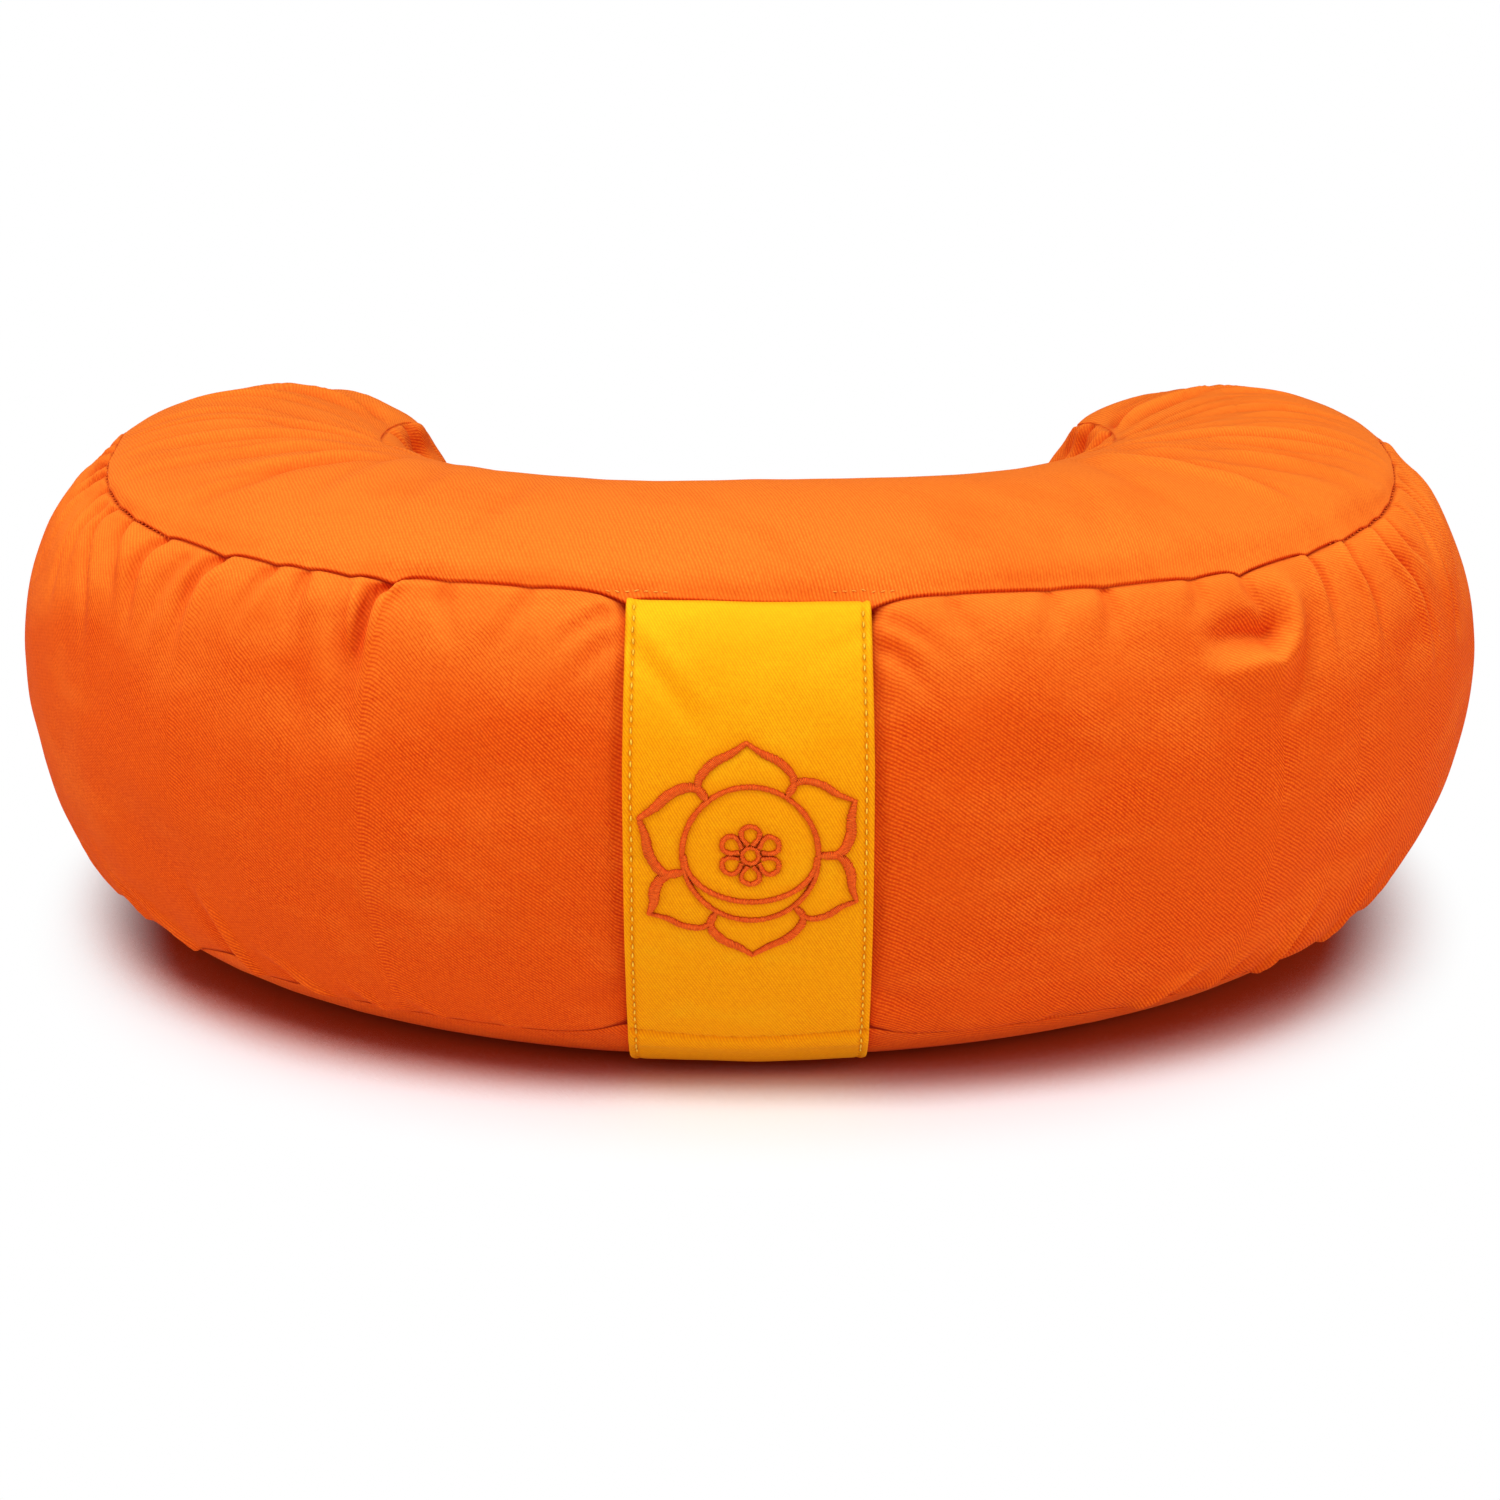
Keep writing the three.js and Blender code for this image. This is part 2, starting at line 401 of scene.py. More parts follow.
# The seams' slow drift from their even lines: (mm round the wall from the middle of the front, mm down
# the wall). The top seam climbs well into the crown on the horns' inner sides, which mirror each other.
TOP_SEAM_INSIDE = [
    (375, -2.5), (520, -2), (542, -4), (563, -11), (588, -16), (606, -22), (618, -20), (630, -8), (645, -3),
    (699, -1),
]
TOP_SEAM_LINE = [
    *[(-at, shift) for at, shift in reversed(TOP_SEAM_INSIDE)],
    (-345, -8), (-320, -11.5), (-300, -10), (-280, -6), (-255, -3), (-225, -0.8), (-180, -0.5),
    (-130, -1.5), (-100, -2.7), (-60, -3.3), (-46, -3.0), (-34, -0.9), (0, 0.2), (34, 0.9), (46, -0.9),
    (60, -1.2), (100, 0.2), (140, 2.2), (170, 2.6), (220, 2.0), (250, 0.3), (275, -3), (300, -7),
    (320, -10), (345, -7),
    *TOP_SEAM_INSIDE,
]
BASE_SEAM_LINE = [
    (-300, 0), (-260, -5), (-223, -6), (-203, -3), (-198, -4.5), (-183, -8.5), (-172, -10), (-167, -2.5),
    (-152, -4), (-142, -5.5), (-136, -2), (-117, -2.5), (-106, -2.5), (-75, -1.5), (-57, -2), (-46, -4.5),
    (-37, -9), (37, -7), (43, -4), (52, -1), (75, 0), (108, 0), (203, 1), (230, -3), (265, -5), (300, 0),
]

# Where the gathered wall is caught at each seam. dip is how far the seam drops there, and left and
# right how quickly it rises again, in mm.
TOP_NIPS = table("at dip left right",
    (-343, 0.8, 8, 4),
    (-318, 0.8, 8, 4),
    (-293, 1.0, 9, 4),
    (-267, 0.7, 9, 4),
    (-246, 0.7, 10, 4),
    (-231, 0.7, 10, 4),
    (-207, 1.2, 12, 4),
    (-176, 1.9, 12, 3),
    (-154, 1.2, 10, 3.5),
    (-142, 0.8, 6, 3.5),
    (-126, 1.2, 10, 4),
    (-110, 3.0, 8, 2.5),
    (-93, 0.6, 6, 8),
    (-66, 0.7, 8, 8),
    (-36, 2.6, 9, 3),
    (36, 2.2, 3, 8),
    (60, 0.4, 8, 8),
    (92, 0.6, 10, 5),
    (110, 0.8, 6, 9),
    (141, 0.9, 4, 7),
    (159, 2.4, 2.5, 9),
    (191, 1.4, 3, 9),
    (212, 1.0, 3, 9),
    (231, 0.9, 3, 8),
    (243, 0.7, 3, 7),
    (258, 0.7, 3, 8),
    (278, 0.6, 4, 8),
    (300, 0.8, 4, 8),
    (325, 0.8, 4, 8),
)
BASE_NIPS = table("at dip left right",
    (-238, -0.8, 6, 9),
    (-199, 1.2, 9, 3),
    (-168, 1.0, 6, 3),
    (-153, 0.8, 8, 3),
    (-136, 1.2, 6, 3),
    (-118, 0.8, 8, 3),
    (-99, 0.8, 8, 4),
    (-72, 0.5, 8, 5),
    (57, 0.4, 5, 8),
    (92, 0.6, 4, 8),
    (123, 1.6, 3, 9),
    (145, 0.8, 3, 8),
    (160, 1.2, 3, 9),
    (181, 1.8, 3, 9),
    (214, 1.8, 3, 9),
    (240, 0.8, 4, 8),
)

# Folds in the outer wall. Places are mm round the wall from the middle of the front, and mm down
# from the top seam; depth is negative for a ridge.
WALL_FOLDS = table("line width depth lip fade tone",
    # the deep pucker left of the middle: a crease that runs down from the nip, and the ridges beside it
    ([(-110.5, 0), (-114.3, 3), (-115.2, 9), (-115, 16), (-114.5, 26), (-113, 40)],
     1.8, 3.4, 0, "start", 1.3),
    ([(-107.5, 1), (-110.8, 5.5), (-111.3, 11), (-111, 18), (-109.5, 34)], 2.0, -2.0),
    ([(-121, 1), (-120, 7), (-118.5, 14), (-117.5, 26)], 1.9, -1.7),
    ([(-124, 7), (-122, 16), (-118, 28), (-114, 46)], 2.8, 1.8, 0, "middle"),
    ([(-133, 10), (-133, 30), (-127, 56)], 5.0, 1.6, 0, "middle"),
    # the hooked pocket on the right: a hollow, and the rolled ridge that curls round under it
    ([(163, 18), (157, 19), (149, 18.5), (140, 18.5), (131, 18)], 4.0, 4.2),
    ([(159, 0), (158, 6), (161, 12), (164, 17)], 2.2, 1.2),
    ([(167, 2), (171, 9), (171, 16), (166, 23), (155, 27.5), (144, 28.5), (132, 28)],
     4.2, -3.4, 0, "middle", 1.3),
    ([(178, 12), (176, 24), (168, 36), (154, 46)], 5.0, 1.8, 0, "middle"),
    # pleats that run down from the nips on the right, each with a thin crest
    ([(191, 0), (190, 12), (188, 22), (185, 36)], 1.8, 1.8, 0.8),
    ([(212, 0), (209, 8), (210, 18), (207, 42)], 1.8, 2.2, 0.8),
    ([(231, 0), (230, 9), (235, 18), (239, 34), (237, 56)], 1.9, 2.5, 0.8),
    ([(243, 0), (243, 10), (249, 18), (252, 30)], 1.8, 1.8, 0.8),
    ([(270, 8), (268, 16), (265, 26), (262, 48)], 2.6, 3.0, 0.5, "middle"),
    ([(258, 0), (260, 8), (257, 24)], 1.8, 1.5, 0.8),
    ([(278, 0), (282, 16), (279, 56)], 2.2, 1.8, 0.6),
    ([(289, 3), (291, 18), (287, 40)], 1.8, 1.2, 0.6),
    ([(300, 0), (302, 16), (295, 48)], 2.4, 1.8, 0.6),
    ([(312, 2), (314, 18), (310, 34)], 1.8, 1.2, 0.6),
    ([(325, 0), (326, 16), (320, 42)], 2.4, 1.5, 0.6),
    ([(141, 0), (138, 7), (129, 16)], 2.6, 1.2, 0.4),
    ([(110, 0), (108, 9), (101, 22)], 2.8, 1.3, 0.4),
    ([(92, 0), (89, 8), (81, 20)], 2.8, 1.0, 0.4),
    ([(60, 0), (62, 8), (70, 20)], 2.8, 0.8, 0.3),
    # puckers that run down from the nips on the left
    ([(-93, 0), (-90, 9), (-82, 24)], 2.8, 1.1, 0.3),
    ([(-66, 0), (-69, 10), (-78, 26)], 2.8, 1.0, 0.3),
    ([(-142, 0), (-140, 9), (-137, 26)], 2.8, 1.8, -0.4),
    ([(-154, 0), (-157, 6), (-159, 24)], 2.6, 1.8, -0.4),
    ([(-176, 0), (-180, 4), (-182, 14), (-180, 40)], 2.8, 2.6, -0.6),
    ([(-190, 4), (-194, 14), (-194, 38)], 3.2, 1.5, -0.4),
    ([(-207, 0), (-211, 7), (-208, 20), (-200, 36)], 2.8, 2.4, -0.6),
    ([(-231, 0), (-228, 8), (-220, 18), (-211, 30)], 2.8, 2.4, -0.7),
    ([(-246, 0), (-249, 8), (-242, 18), (-231, 30), (-224, 48)], 2.8, 2.4, -0.7),
    ([(-256, 3), (-258, 14), (-250, 30)], 2.0, 1.3, -0.6),
    ([(-267, 0), (-270, 10), (-263, 26), (-253, 44)], 2.6, 2.4, -0.7),
    ([(-282, 0), (-290, 12), (-289, 28), (-281, 50)], 2.1, 2.0, -0.7),
    ([(-293, 0), (-301, 10), (-305, 20), (-303, 40)], 2.1, 2.2, -0.7),
    ([(-306, 0), (-317, 12), (-321, 28)], 1.9, 1.6, -0.6),
    ([(-318, 0), (-329, 12), (-334, 34)], 2.0, 1.6, -0.6),
    ([(-343, 0), (-351, 14), (-354, 40)], 2.2, 1.4, -0.5),
    # broad soft hollows in the filling
    ([(-215, 70), (-195, 92), (-160, 104)], 13, 1.6, 0, "middle"),
    ([(-92, 46), (-74, 54), (-48, 56)], 9, 0.9, 0, "middle"),
    ([(60, 40), (84, 52), (118, 52)], 10, 0.9, 0, "middle"),
    ([(205, 72), (190, 94), (160, 104)], 13, 1.4, 0, "middle"),
    # small diagonal puckers beside the band's top corners
    ([(-40, 5), (-46, 9), (-58, 20)], 1.8, 1.3, 0.5),
    ([(-37, 11), (-43, 17), (-54, 32)], 2.4, 1.0, 0.4),
    ([(40, 5), (46, 9), (58, 20)], 1.8, 1.2, 0.5),
    ([(37, 11), (43, 17), (54, 34)], 2.4, 1.0, 0.4),
    ([(-36, 112), (-43, 118), (-58, 126)], 3.0, 1.0, 0.4),
    ([(36, 112), (44, 118), (60, 127)], 3.0, 1.0, 0.4),
)

# Creases down the horns' inner walls, on the right; the left mirrors them in a plain tone.
INNER_FOLDS = table("line width depth lip fade tone",
    ([(543, 0), (548, 14), (560, 40)], 2.4, 1.6, 0.4),
    ([(566, 0), (568, 14), (572, 44)], 2.2, 2.6, 0.2, "start", 1.6),
    ([(582, 0), (584, 14), (590, 44)], 2.2, 3.4, 0.6, "start", 1.4),
    ([(604, 0), (607, 16), (612, 50)], 2.6, 2.4, 0.4),
)

# Slanting gathers that run down to the base seam: where the crest of each meets the seam, where it
# starts (mm round the wall, and mm up from the seam), and its rise. A trough lies on its outer side.
BASE_GATHERS = table("at from up rise",
    (-255, -266, 40, 0.9),
    (-226, -244, 40, 1.35),
    (-197, -238, 30, 2.1),
    (-167, -181, 42, 2.4),
    (-138, -164, 22, 1.95),
    (-116, -131, 18, 1.05),
    (-97, -110, 16, 0.75),
    (-74, -82, 12, 0.45),
    (90, 102, 14, 0.6),
    (128, 155, 24, 1.95),
    (156, 168, 26, 1.2),
    (181, 192, 40, 2.25),
    (217, 229, 44, 1.95),
    (244, 252, 38, 1.05),
)

# Long wrinkles over each horn, from the outer seam to the inner edge. Places are mm of the plan, for
# the right horn, measured from the middle of the cushion's length and width.
HORN_ARCS = [
    [(166, -44), (152, -38), (130, -34), (100, -22)],
    [(176, -22), (142, -29), (112, -22), (96, -14)],
    [(192, 4), (155, -9), (123, -8), (100, -2)],
    [(198, 36), (168, 33), (137, 22), (104, 8)],
    [(192, 66), (160, 62), (130, 40), (107, 24)],
    [(176, 92), (150, 82), (124, 62), (110, 40)],
    [(158, 112), (138, 98), (120, 78), (112, 56)],
]
WRINKLES_PER_GAP = 5
FRONT_WRINKLES = [0.4, 0.75, 1.0]  # how deep the wrinkles are in the first gaps, and from there on

# Valleys that go on over the crown from the horns' inner walls, on the left; the right mirrors them.
CROWN_VALLEYS = table("line width depth lip",
    ([(-111, 52), (-117, 64), (-127, 80), (-141, 96)], 2.6, 2.0, 0.6),
    ([(-112, 24), (-119, 33), (-133, 46)], 2.6, 1.6, 0.6),
)
# Soft folds that fan out over the crown from the crescent's inner edge, in mm of the same plan.
CROWN_FOLDS = table("line width depth lip fade",
    ([(-106, 6), (-120, -14), (-146, -40)], 3.2, 0.6, 0.6, "middle"),
    ([(-100, -3), (-108, -30), (-128, -62)], 3.4, 0.8, 0.6, "middle"),
    ([(-88, -14), (-88, -42), (-100, -78)], 3.4, 0.7, 0.6, "middle"),
    ([(-58, -44), (-64, -68), (-80, -92)], 3.6, 0.7, 0.6, "middle"),
    ([(104, 2), (116, -18), (138, -44)], 3.2, 0.9, 0.6, "middle"),
    ([(94, -8), (100, -34), (118, -66)], 3.4, 0.8, 0.6, "middle"),
    ([(58, -60), (60, -82), (54, -100)], 3.8, 0.7, 0.5, "middle"),
    ([(86, -46), (94, -68), (94, -88)], 3.6, 0.8, 0.5, "middle"),
)
CROWN_GRAIN = math.radians(32)  # how far the crown panel's weave is turned from the wall's
CROWN_SWELL = 1.5  # how much fuller the crown is at the middle of its length

TALLEST_PUFF = 1.4
PUFF_PER_GAP = 0.1
PUFF_REACH = (5, 26)  # mm down the panel, for the shortest and the longest
PUFFS_LESS_HORNS = 0.6  # how much less the cloth puffs out beside the horns' pleats
PUFFS_LESS_INSIDE = 0.25  # and how much less again along the crescent's inner side
PUFFS_AT_BASE = 0.35
SEAM_DEPTH = 0.9  # how far a seam is drawn in at the front
SEAM_DEPTH_HORNS = 0.5
SEAM_REACH = 0.42
SEAM_INWARD = 0.9  # the direction in which it is drawn: shares inward and down
SEAM_DOWNWARD = 0.45
SEAM_ROUNDING = 5.0  # how far each side of the top seam its crease is rounded off
SEAM_SHUT = 205.0  # mm each side of the front's middle where the seams stay closed
SEAM_LINE = 0.36  # half the width of the painted shade line along a seam
SEAM_GAPE = 4.5  # how much wider that line grows at the sides of the band
SEAM_FAINT = 0.22  # how dark that painted shade is between the stitches at the front, as a share
SEAM_FAINT_HORNS = 0.55
SEAM_INSIDE = 500.0  # mm each side beyond which they run along the crescent's inner side, drawn tight
HIDDEN_HALF = 338  # half the length round the inner side that the tables of nips leave out
HIDDEN_GAP = 18  # mm between the places that catch the wall there
PLEATS_END = 358  # mm round the wall where the table's pleats end
HOLLOW_HALF = 200  # half the length of the hollow inner wall, whose creases are wider apart
HOLLOW_GAP = 24
THINNEST_AT = 564  # mm round the wall where the filling is thinnest, behind the horns' inner walls
THINNER = 3.5


def caught(around, loop, nips):
    """How far a seam wanders down its panel where the cloth is caught."""
    total = np.zeros_like(around)
    for nip in nips:
        away = (around - nip["at"] + loop / 2) % loop - loop / 2
        reach = np.where(away < 0, nip["left"], nip["right"])
        total += nip["dip"] * np.exp(-np.abs(away) / reach)
    return total


def seam_shift(line, around, loop, nips):
    """How far a seam lies from its even line: the drift of line, rounded off, and its nips."""
    at, shift = zip(*line)
    wander = [np.interp(around + away, at, shift, period=loop) for away in range(-4, 5, 2)]
    return np.mean(wander, axis=0) + caught(around, loop, nips)


def random_nips(start, end, gap):
    """Seeded places from start to end, about gap apart."""
    count = int(abs(end - start) / gap)
    places = start + (end - start) * (np.arange(count) + 0.5) / count
    return list(places + RANDOM.uniform(-0.3, 0.3, count) * gap)


def puffs(panel, distance, nips, reach_share):
    """The cloth swells between the places where a seam catches it."""
    nips = np.sort(np.mod(nips, panel.loop))
    place = np.mod(panel.across, panel.loop)
    after = np.searchsorted(nips, place) % len(nips)
    before = (after - 1) % len(nips)
    gap = np.mod(nips[after] - nips[before], panel.loop)
    share = np.mod(place - nips[before], panel.loop) / gap
    height = np.minimum(PUFF_PER_GAP * gap, TALLEST_PUFF)
    arch = np.clip(4 * share * (1 - share), 0, 1) ** 0.7
    reach = np.clip(reach_share * gap, *PUFF_REACH)
    return height * arch * (1 - np.exp(-distance / 1.4)) * np.exp(-((distance / reach) ** 1.5))


def cushion_panels():
    places = loop_stations()
    points, distance, top_seam, base_seam = smooth_sections(places)
    points = settled(points, points)
    points = soften(points, distance, top_seam, SEAM_ROUNDING)

    girth = points[CROWN_SAMPLES + WALL_SAMPLES // 2]
    steps = np.linalg.norm(np.roll(girth, -1, axis=0) - girth, axis=1)
    around = np.concatenate([[0], np.cumsum(steps)])
    loop = around[-1]
    around = around[:-1] - around[LINE_STEPS // 2]

    top = top_seam + seam_shift(TOP_SEAM_LINE, around, loop, TOP_NIPS)
    base = base_seam + seam_shift(BASE_SEAM_LINE, around, loop, BASE_NIPS)
    crown_rows = rows_between(np.zeros_like(top), top, CROWN_ROWS, False, True)
    wall_rows = rows_between(top, base, WALL_ROWS, True, True)
    base_rows = rows_between(base, distance[-1], BASE_ROWS, True, False)
    crown = resample(points, distance, crown_rows)
    wall = resample(points, distance, wall_rows)
    under = resample(points, distance, base_rows)
    panels = {
        "crown": Panel(crown, crown[..., 0], crown[..., 1]),
        "wall": Panel(wall, np.broadcast_to(around, wall.shape[:2]), wall_rows - top, loop),
        "base": Panel(under, under[..., 0], under[..., 1]),
    }
    panels["crown"].normals[0] = (0, 0, 1)
    panels["crown"].edge = top - crown_rows
    panels["base"].edge = base_rows - base
    return places, panels, around, loop


def mirrored(fold):
    """The same fold on the other side, in a plain tone."""
    line = [(-place, down) for place, down in fold["line"]]
    return {**fold, "line": line, "lip": -fold["lip"], "tone": 1}


def random_fold(panel, line, widths, depths, lip):
    """A fold of a seeded width and depth, each between two values."""
    panel.fold(line, width=RANDOM.uniform(*widths), depth=RANDOM.uniform(*depths), lip=lip)


def shape_wall(wall, loop):
    """Puts the folds, puffs and lumps into the wall."""
    depth = wall.down[-1]
    height = depth.mean()
    for fold in WALL_FOLDS:
        wall.fold(**fold)
    for fold in INNER_FOLDS:
        wall.fold(**fold)
        wall.fold(**mirrored(fold))
    for gather in BASE_GATHERS:
        at, start, up = gather["at"], gather["from"], gather["up"]
        line = [(at, height - 2), (at + 0.36 * (start - at), height - 0.5 * up), (start, height - up)]
        wall.fold(line, width=2.4, depth=-gather["rise"], lip=math.copysign(0.9, at), tone=1.6)

    # creases down the hollow inner wall and the horn tips, which no table lists
    for at in random_nips(loop / 2 - HOLLOW_HALF + 10, loop / 2 + HOLLOW_HALF - 10, HOLLOW_GAP):
        lean = RANDOM.uniform(-9, 9)
        reach = RANDOM.uniform(60, 125)
        line = [(at, 0), (at + 0.6 * lean, 0.4 * reach), (at + 0.4 * lean, reach)]
        random_fold(wall, line, (3.4, 5.5), (1.2, 2.6), 0.4)
        at += 9
        reach = RANDOM.uniform(35, 80)
        line = [(at, height), (at - 0.6 * lean, height - 0.5 * reach), (at - 3, height - reach)]
        random_fold(wall, line, (3.2, 5), (0.8, 1.8), 0.4)
    for side in (-1, 1):
        for at in random_nips(side * PLEATS_END, side * (loop / 2 - HOLLOW_HALF), HIDDEN_GAP):
            lean = RANDOM.uniform(-6, 6)
            line = [(at, 0), (at + lean, 22), (at + lean, RANDOM.uniform(50, 95))]
            random_fold(wall, line, (2.8, 4.2), (1.6, 2.8), 0.5)
            at += 6
            line = [(at, height), (at + lean, height - 18), (at + lean, height - RANDOM.uniform(30, 66))]
            random_fold(wall, line, (2.8, 4.2), (1.0, 2.0), 0.5)

    hidden = [loop / 2 + at for at in range(-HIDDEN_HALF, HIDDEN_HALF + 1, HIDDEN_GAP)]
    top_nips, base_nips = (
        [nip["at"] for nip in nips] + [at + RANDOM.uniform(-5, 5) for at in hidden]
        for nips in (TOP_NIPS, BASE_NIPS)
    )
    aside = np.abs(wall.offset(0))
    full = 1 - PUFFS_LESS_HORNS * smoothstep(SEAM_SHUT + 20, SEAM_SHUT + 80, aside)
    full -= PUFFS_LESS_INSIDE * smoothstep(480, SEAM_INSIDE, aside)
    wall.lift += full * puffs(wall, wall.down, top_nips, 0.75)
    wall.lift += PUFFS_AT_BASE * full * puffs(wall, depth - wall.down, base_nips, 0.6)
    wall.lift += 1.2 * lumps(wall.points, 44, 3.1) + 0.45 * lumps(wall.points, 16, 8.7)
    wall.lift -= THINNER * bell(aside - THINNEST_AT, 30) * smoothstep(0.5, 12, wall.down)

    # flat under the band, and drawn in just beside its top corners
    wall.lift *= smoothstep(BAND_HALF - 1, BAND_HALF + 5, aside)
    wall.lift -= 1.8 * bell(aside - BAND_HALF - 3, 4) * bell(wall.down - 1.5, 2.2)
    wall.lift -= 0.9 * bell(aside - BAND_HALF - 1.5, 2.2)
    wall.lift *= smoothstep(0, 0.8, wall.down) * smoothstep(0, 0.8, depth - wall.down)


def between(first, second, share):
    """The place at a share of the way from first to second."""
    return tuple(a + (b - a) * share for a, b in zip(first, second))


def shape_crown(crown):
    """Puts the horns' long wrinkles, the soft folds and the lumps into the crown."""
    for side in (-1, 1):
        for gap, (arc, following) in enumerate(zip(HORN_ARCS, HORN_ARCS[1:])):
            for k in range(WRINKLES_PER_GAP):
                share = (k + RANDOM.uniform(-0.3, 0.3)) / WRINKLES_PER_GAP
                line = [between(first, second, share) for first, second in zip(arc, following)]
                line = [(side * x, y + RANDOM.uniform(-2, 2)) for x, y in line]
                if RANDOM.random() < 0.35:
                    line[-1] = between(line[-2], line[-1], 0.5)
                depth = RANDOM.uniform(0.9, 2.1) * FRONT_WRINKLES[min(gap, 2)]
                width = RANDOM.uniform(1.9, 3.2)
                crown.fold(line, width, depth, lip=0.7, fade="middle", tone=1.4)
    for fold in CROWN_VALLEYS + [mirrored(fold) for fold in CROWN_VALLEYS] + CROWN_FOLDS:
        crown.fold(**fold)
    crown.lift += 0.7 * lumps(crown.points, 50, 5.3) + 0.2 * lumps(crown.points, 14, 1.9)
    crown.lift += CROWN_SWELL * bell(crown.points[..., 0], 34) * smoothstep(0, 40, crown.edge)
    crown.lift *= smoothstep(0, 6, crown.edge)


def seam_groove(distance, places, around):
    """How the cloth is drawn in and down along a seam, less where the horns pull it taut."""
    taut = smoothstep(SEAM_SHUT, SEAM_SHUT + 60, np.abs(around))
    depth = (SEAM_DEPTH + (SEAM_DEPTH_HORNS - SEAM_DEPTH) * taut)[:, None]
    near = bell(distance, SEAM_REACH)[..., None]
    out_x, out_y = SEAM_INWARD * places.out_x, SEAM_INWARD * places.out_y * DEPTH_RATIO
    inward = np.stack([-out_x, -out_y, np.full_like(out_x, -SEAM_DOWNWARD)], axis=-1)
    return depth * near * inward


def cloth_mesh(name, rings, panel_faces, marks, material):
    """Builds a closed mesh from stacked rings.

    panel_faces gives each panel's first row and its cloth coordinates, and marks holds values for each
    point that the material reads by name. In the first and last rings, which lie along the crescent's
    middle line, each face of the inner side also takes in the outer side's point between its corners.
    """
    count = rings.shape[1]
    index = np.arange(rings.shape[0] * count).reshape(rings.shape[0], count)
    quads = np.stack([index[:-1], index[1:], np.roll(index[1:], -1, 1), np.roll(index[:-1], -1, 1)], axis=-1)
    corners = np.zeros((rings.shape[0] - 1, count, 4, 2))
    for first, across, down in panel_faces:
        rows = across.shape[0] - 1
        spots = np.stack([across, down], -1)
        beside = np.roll(spots, -1, 1)
        corners[first:first + rows] = np.stack([spots[:-1], spots[1:], beside[1:], beside[:-1]], axis=2)
    faces = quads.reshape(-1, 4).tolist()
    spots = corners.reshape(-1, 4, 2).tolist()
    for step in range(LINE_STEPS // 2):
        column = LINE_STEPS + TIP_STEPS + step
        outer = LINE_STEPS - 2 * step - 1
        for face, place, ring in ((column, 4, index[0]), (len(faces) - count + column, 2, index[-1])):
            before, after = spots[face][place - 1], spots[face][place % 4]
            faces[face].insert(place, int(ring[outer]))
            spots[face].insert(place, [(a + b) / 2 for a, b in zip(before, after)])
    piece = new_piece(name, rings.reshape(-1, 3), faces, material)
    mesh = piece.data
    write_cloth_map(mesh, np.concatenate(spots))
    for mark, values in marks.items():
        mesh.attributes.new(mark, "FLOAT", "POINT").data.foreach_set("value", values.ravel())
    bm = bmesh.new()
    bm.from_mesh(mesh)
    bmesh.ops.remove_doubles(bm, verts=bm.verts, dist=1e-6)
    bm.to_mesh(mesh)
    bm.free()
    return piece


def write_cloth_map(mesh, corners):
    """Writes flat cloth coordinates, given in mm for each face corner, as the map called cloth."""
    cloth = mesh.uv_layers.new(name="cloth")
    cloth.uv.foreach_set("vector", (corners * MM).ravel())


def make_cushion():
    """The cover. Gives its three finished surfaces and the length of the loop round its wall."""
    places, panels, around, loop = cushion_panels()
    crown, wall, base = panels["crown"], panels["wall"], panels["base"]
    shape_wall(wall, loop)
    shape_crown(crown)
    wall_edge = np.minimum(wall.down, wall.down[-1] - wall.down)
    crown_rings = crown.shaped() + seam_groove(crown.edge, places, around)
    wall_rings = wall.shaped() + seam_groove(wall_edge, places, around)
    base_rings = base.shaped() + seam_groove(base.edge, places, around)
    for rings in (crown_rings, wall_rings, base_rings):
        rings[..., 2] = np.maximum(rings[..., 2], 0)

    laid_flat = row_distances(crown.points)
    right = places.x + places.out_x * laid_flat
    front = -(places.y + places.out_y * laid_flat) * DEPTH_RATIO
    crown_across = math.cos(CROWN_GRAIN) * right + math.sin(CROWN_GRAIN) * front
    crown_down = math.cos(CROWN_GRAIN) * front - math.sin(CROWN_GRAIN) * right
    first_wall = len(crown_rings) - 1
    first_base = first_wall + len(wall_rings) - 1
    faces = [
        (0, crown_across, crown_down),
        (first_wall, wall.across, wall.down),
        (first_base, base.across, base.down),
    ]
    rings = np.concatenate([crown_rings[:-1], wall_rings[:-1], base_rings])

    # painted shade along the seams: a thin dark line, darkest at the nips and beside the band's top corners,
    # and fainter between them and along the inner side
    aside = np.abs(around)
    gape = 1 + SEAM_GAPE * bell(aside - BAND_HALF, 6)
    near = np.concatenate([crown.edge[:-1], wall_edge[:-1] / gape, base.edge])
    faint = SEAM_FAINT_HORNS - SEAM_FAINT
    least = SEAM_FAINT + faint * smoothstep(SEAM_SHUT - 80, SEAM_SHUT, aside)
    dark = least + (1 - least) * np.clip(caught(around, loop, TOP_NIPS) / 1.2, 0, 1)
    dark *= 1 - 0.6 * smoothstep(SEAM_INSIDE - 30, SEAM_INSIDE, aside)
    dark = np.maximum(dark, bell(aside - BAND_HALF, 14))
    # crease gives the painted shade of troughs and the painted highlight of ridges
    crease = np.concatenate([crown.crease[:-1], wall.crease[:-1], base.crease])
    marks = {"seam": dark * bell(near, SEAM_LINE), "crease": np.clip(crease, -0.7, 1.4)}
    cushion = cloth_mesh("cushion_cover", rings, faces, marks, orange_twill)
    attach(cushion, "root")
    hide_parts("cushion")
    surfaces = {
        "crown": Surface(crown_rings[::-1], around, crown.edge[::-1], loop),
        "wall": Surface(wall_rings, around, wall.down, loop),
        "base": Surface(base_rings, around, base.edge, loop),
    }
    surfaces["crown"].normals *= -1
    return surfaces, loop


# ---------------------------------------------------------------- the carry band

BAND_HALF = 33.0
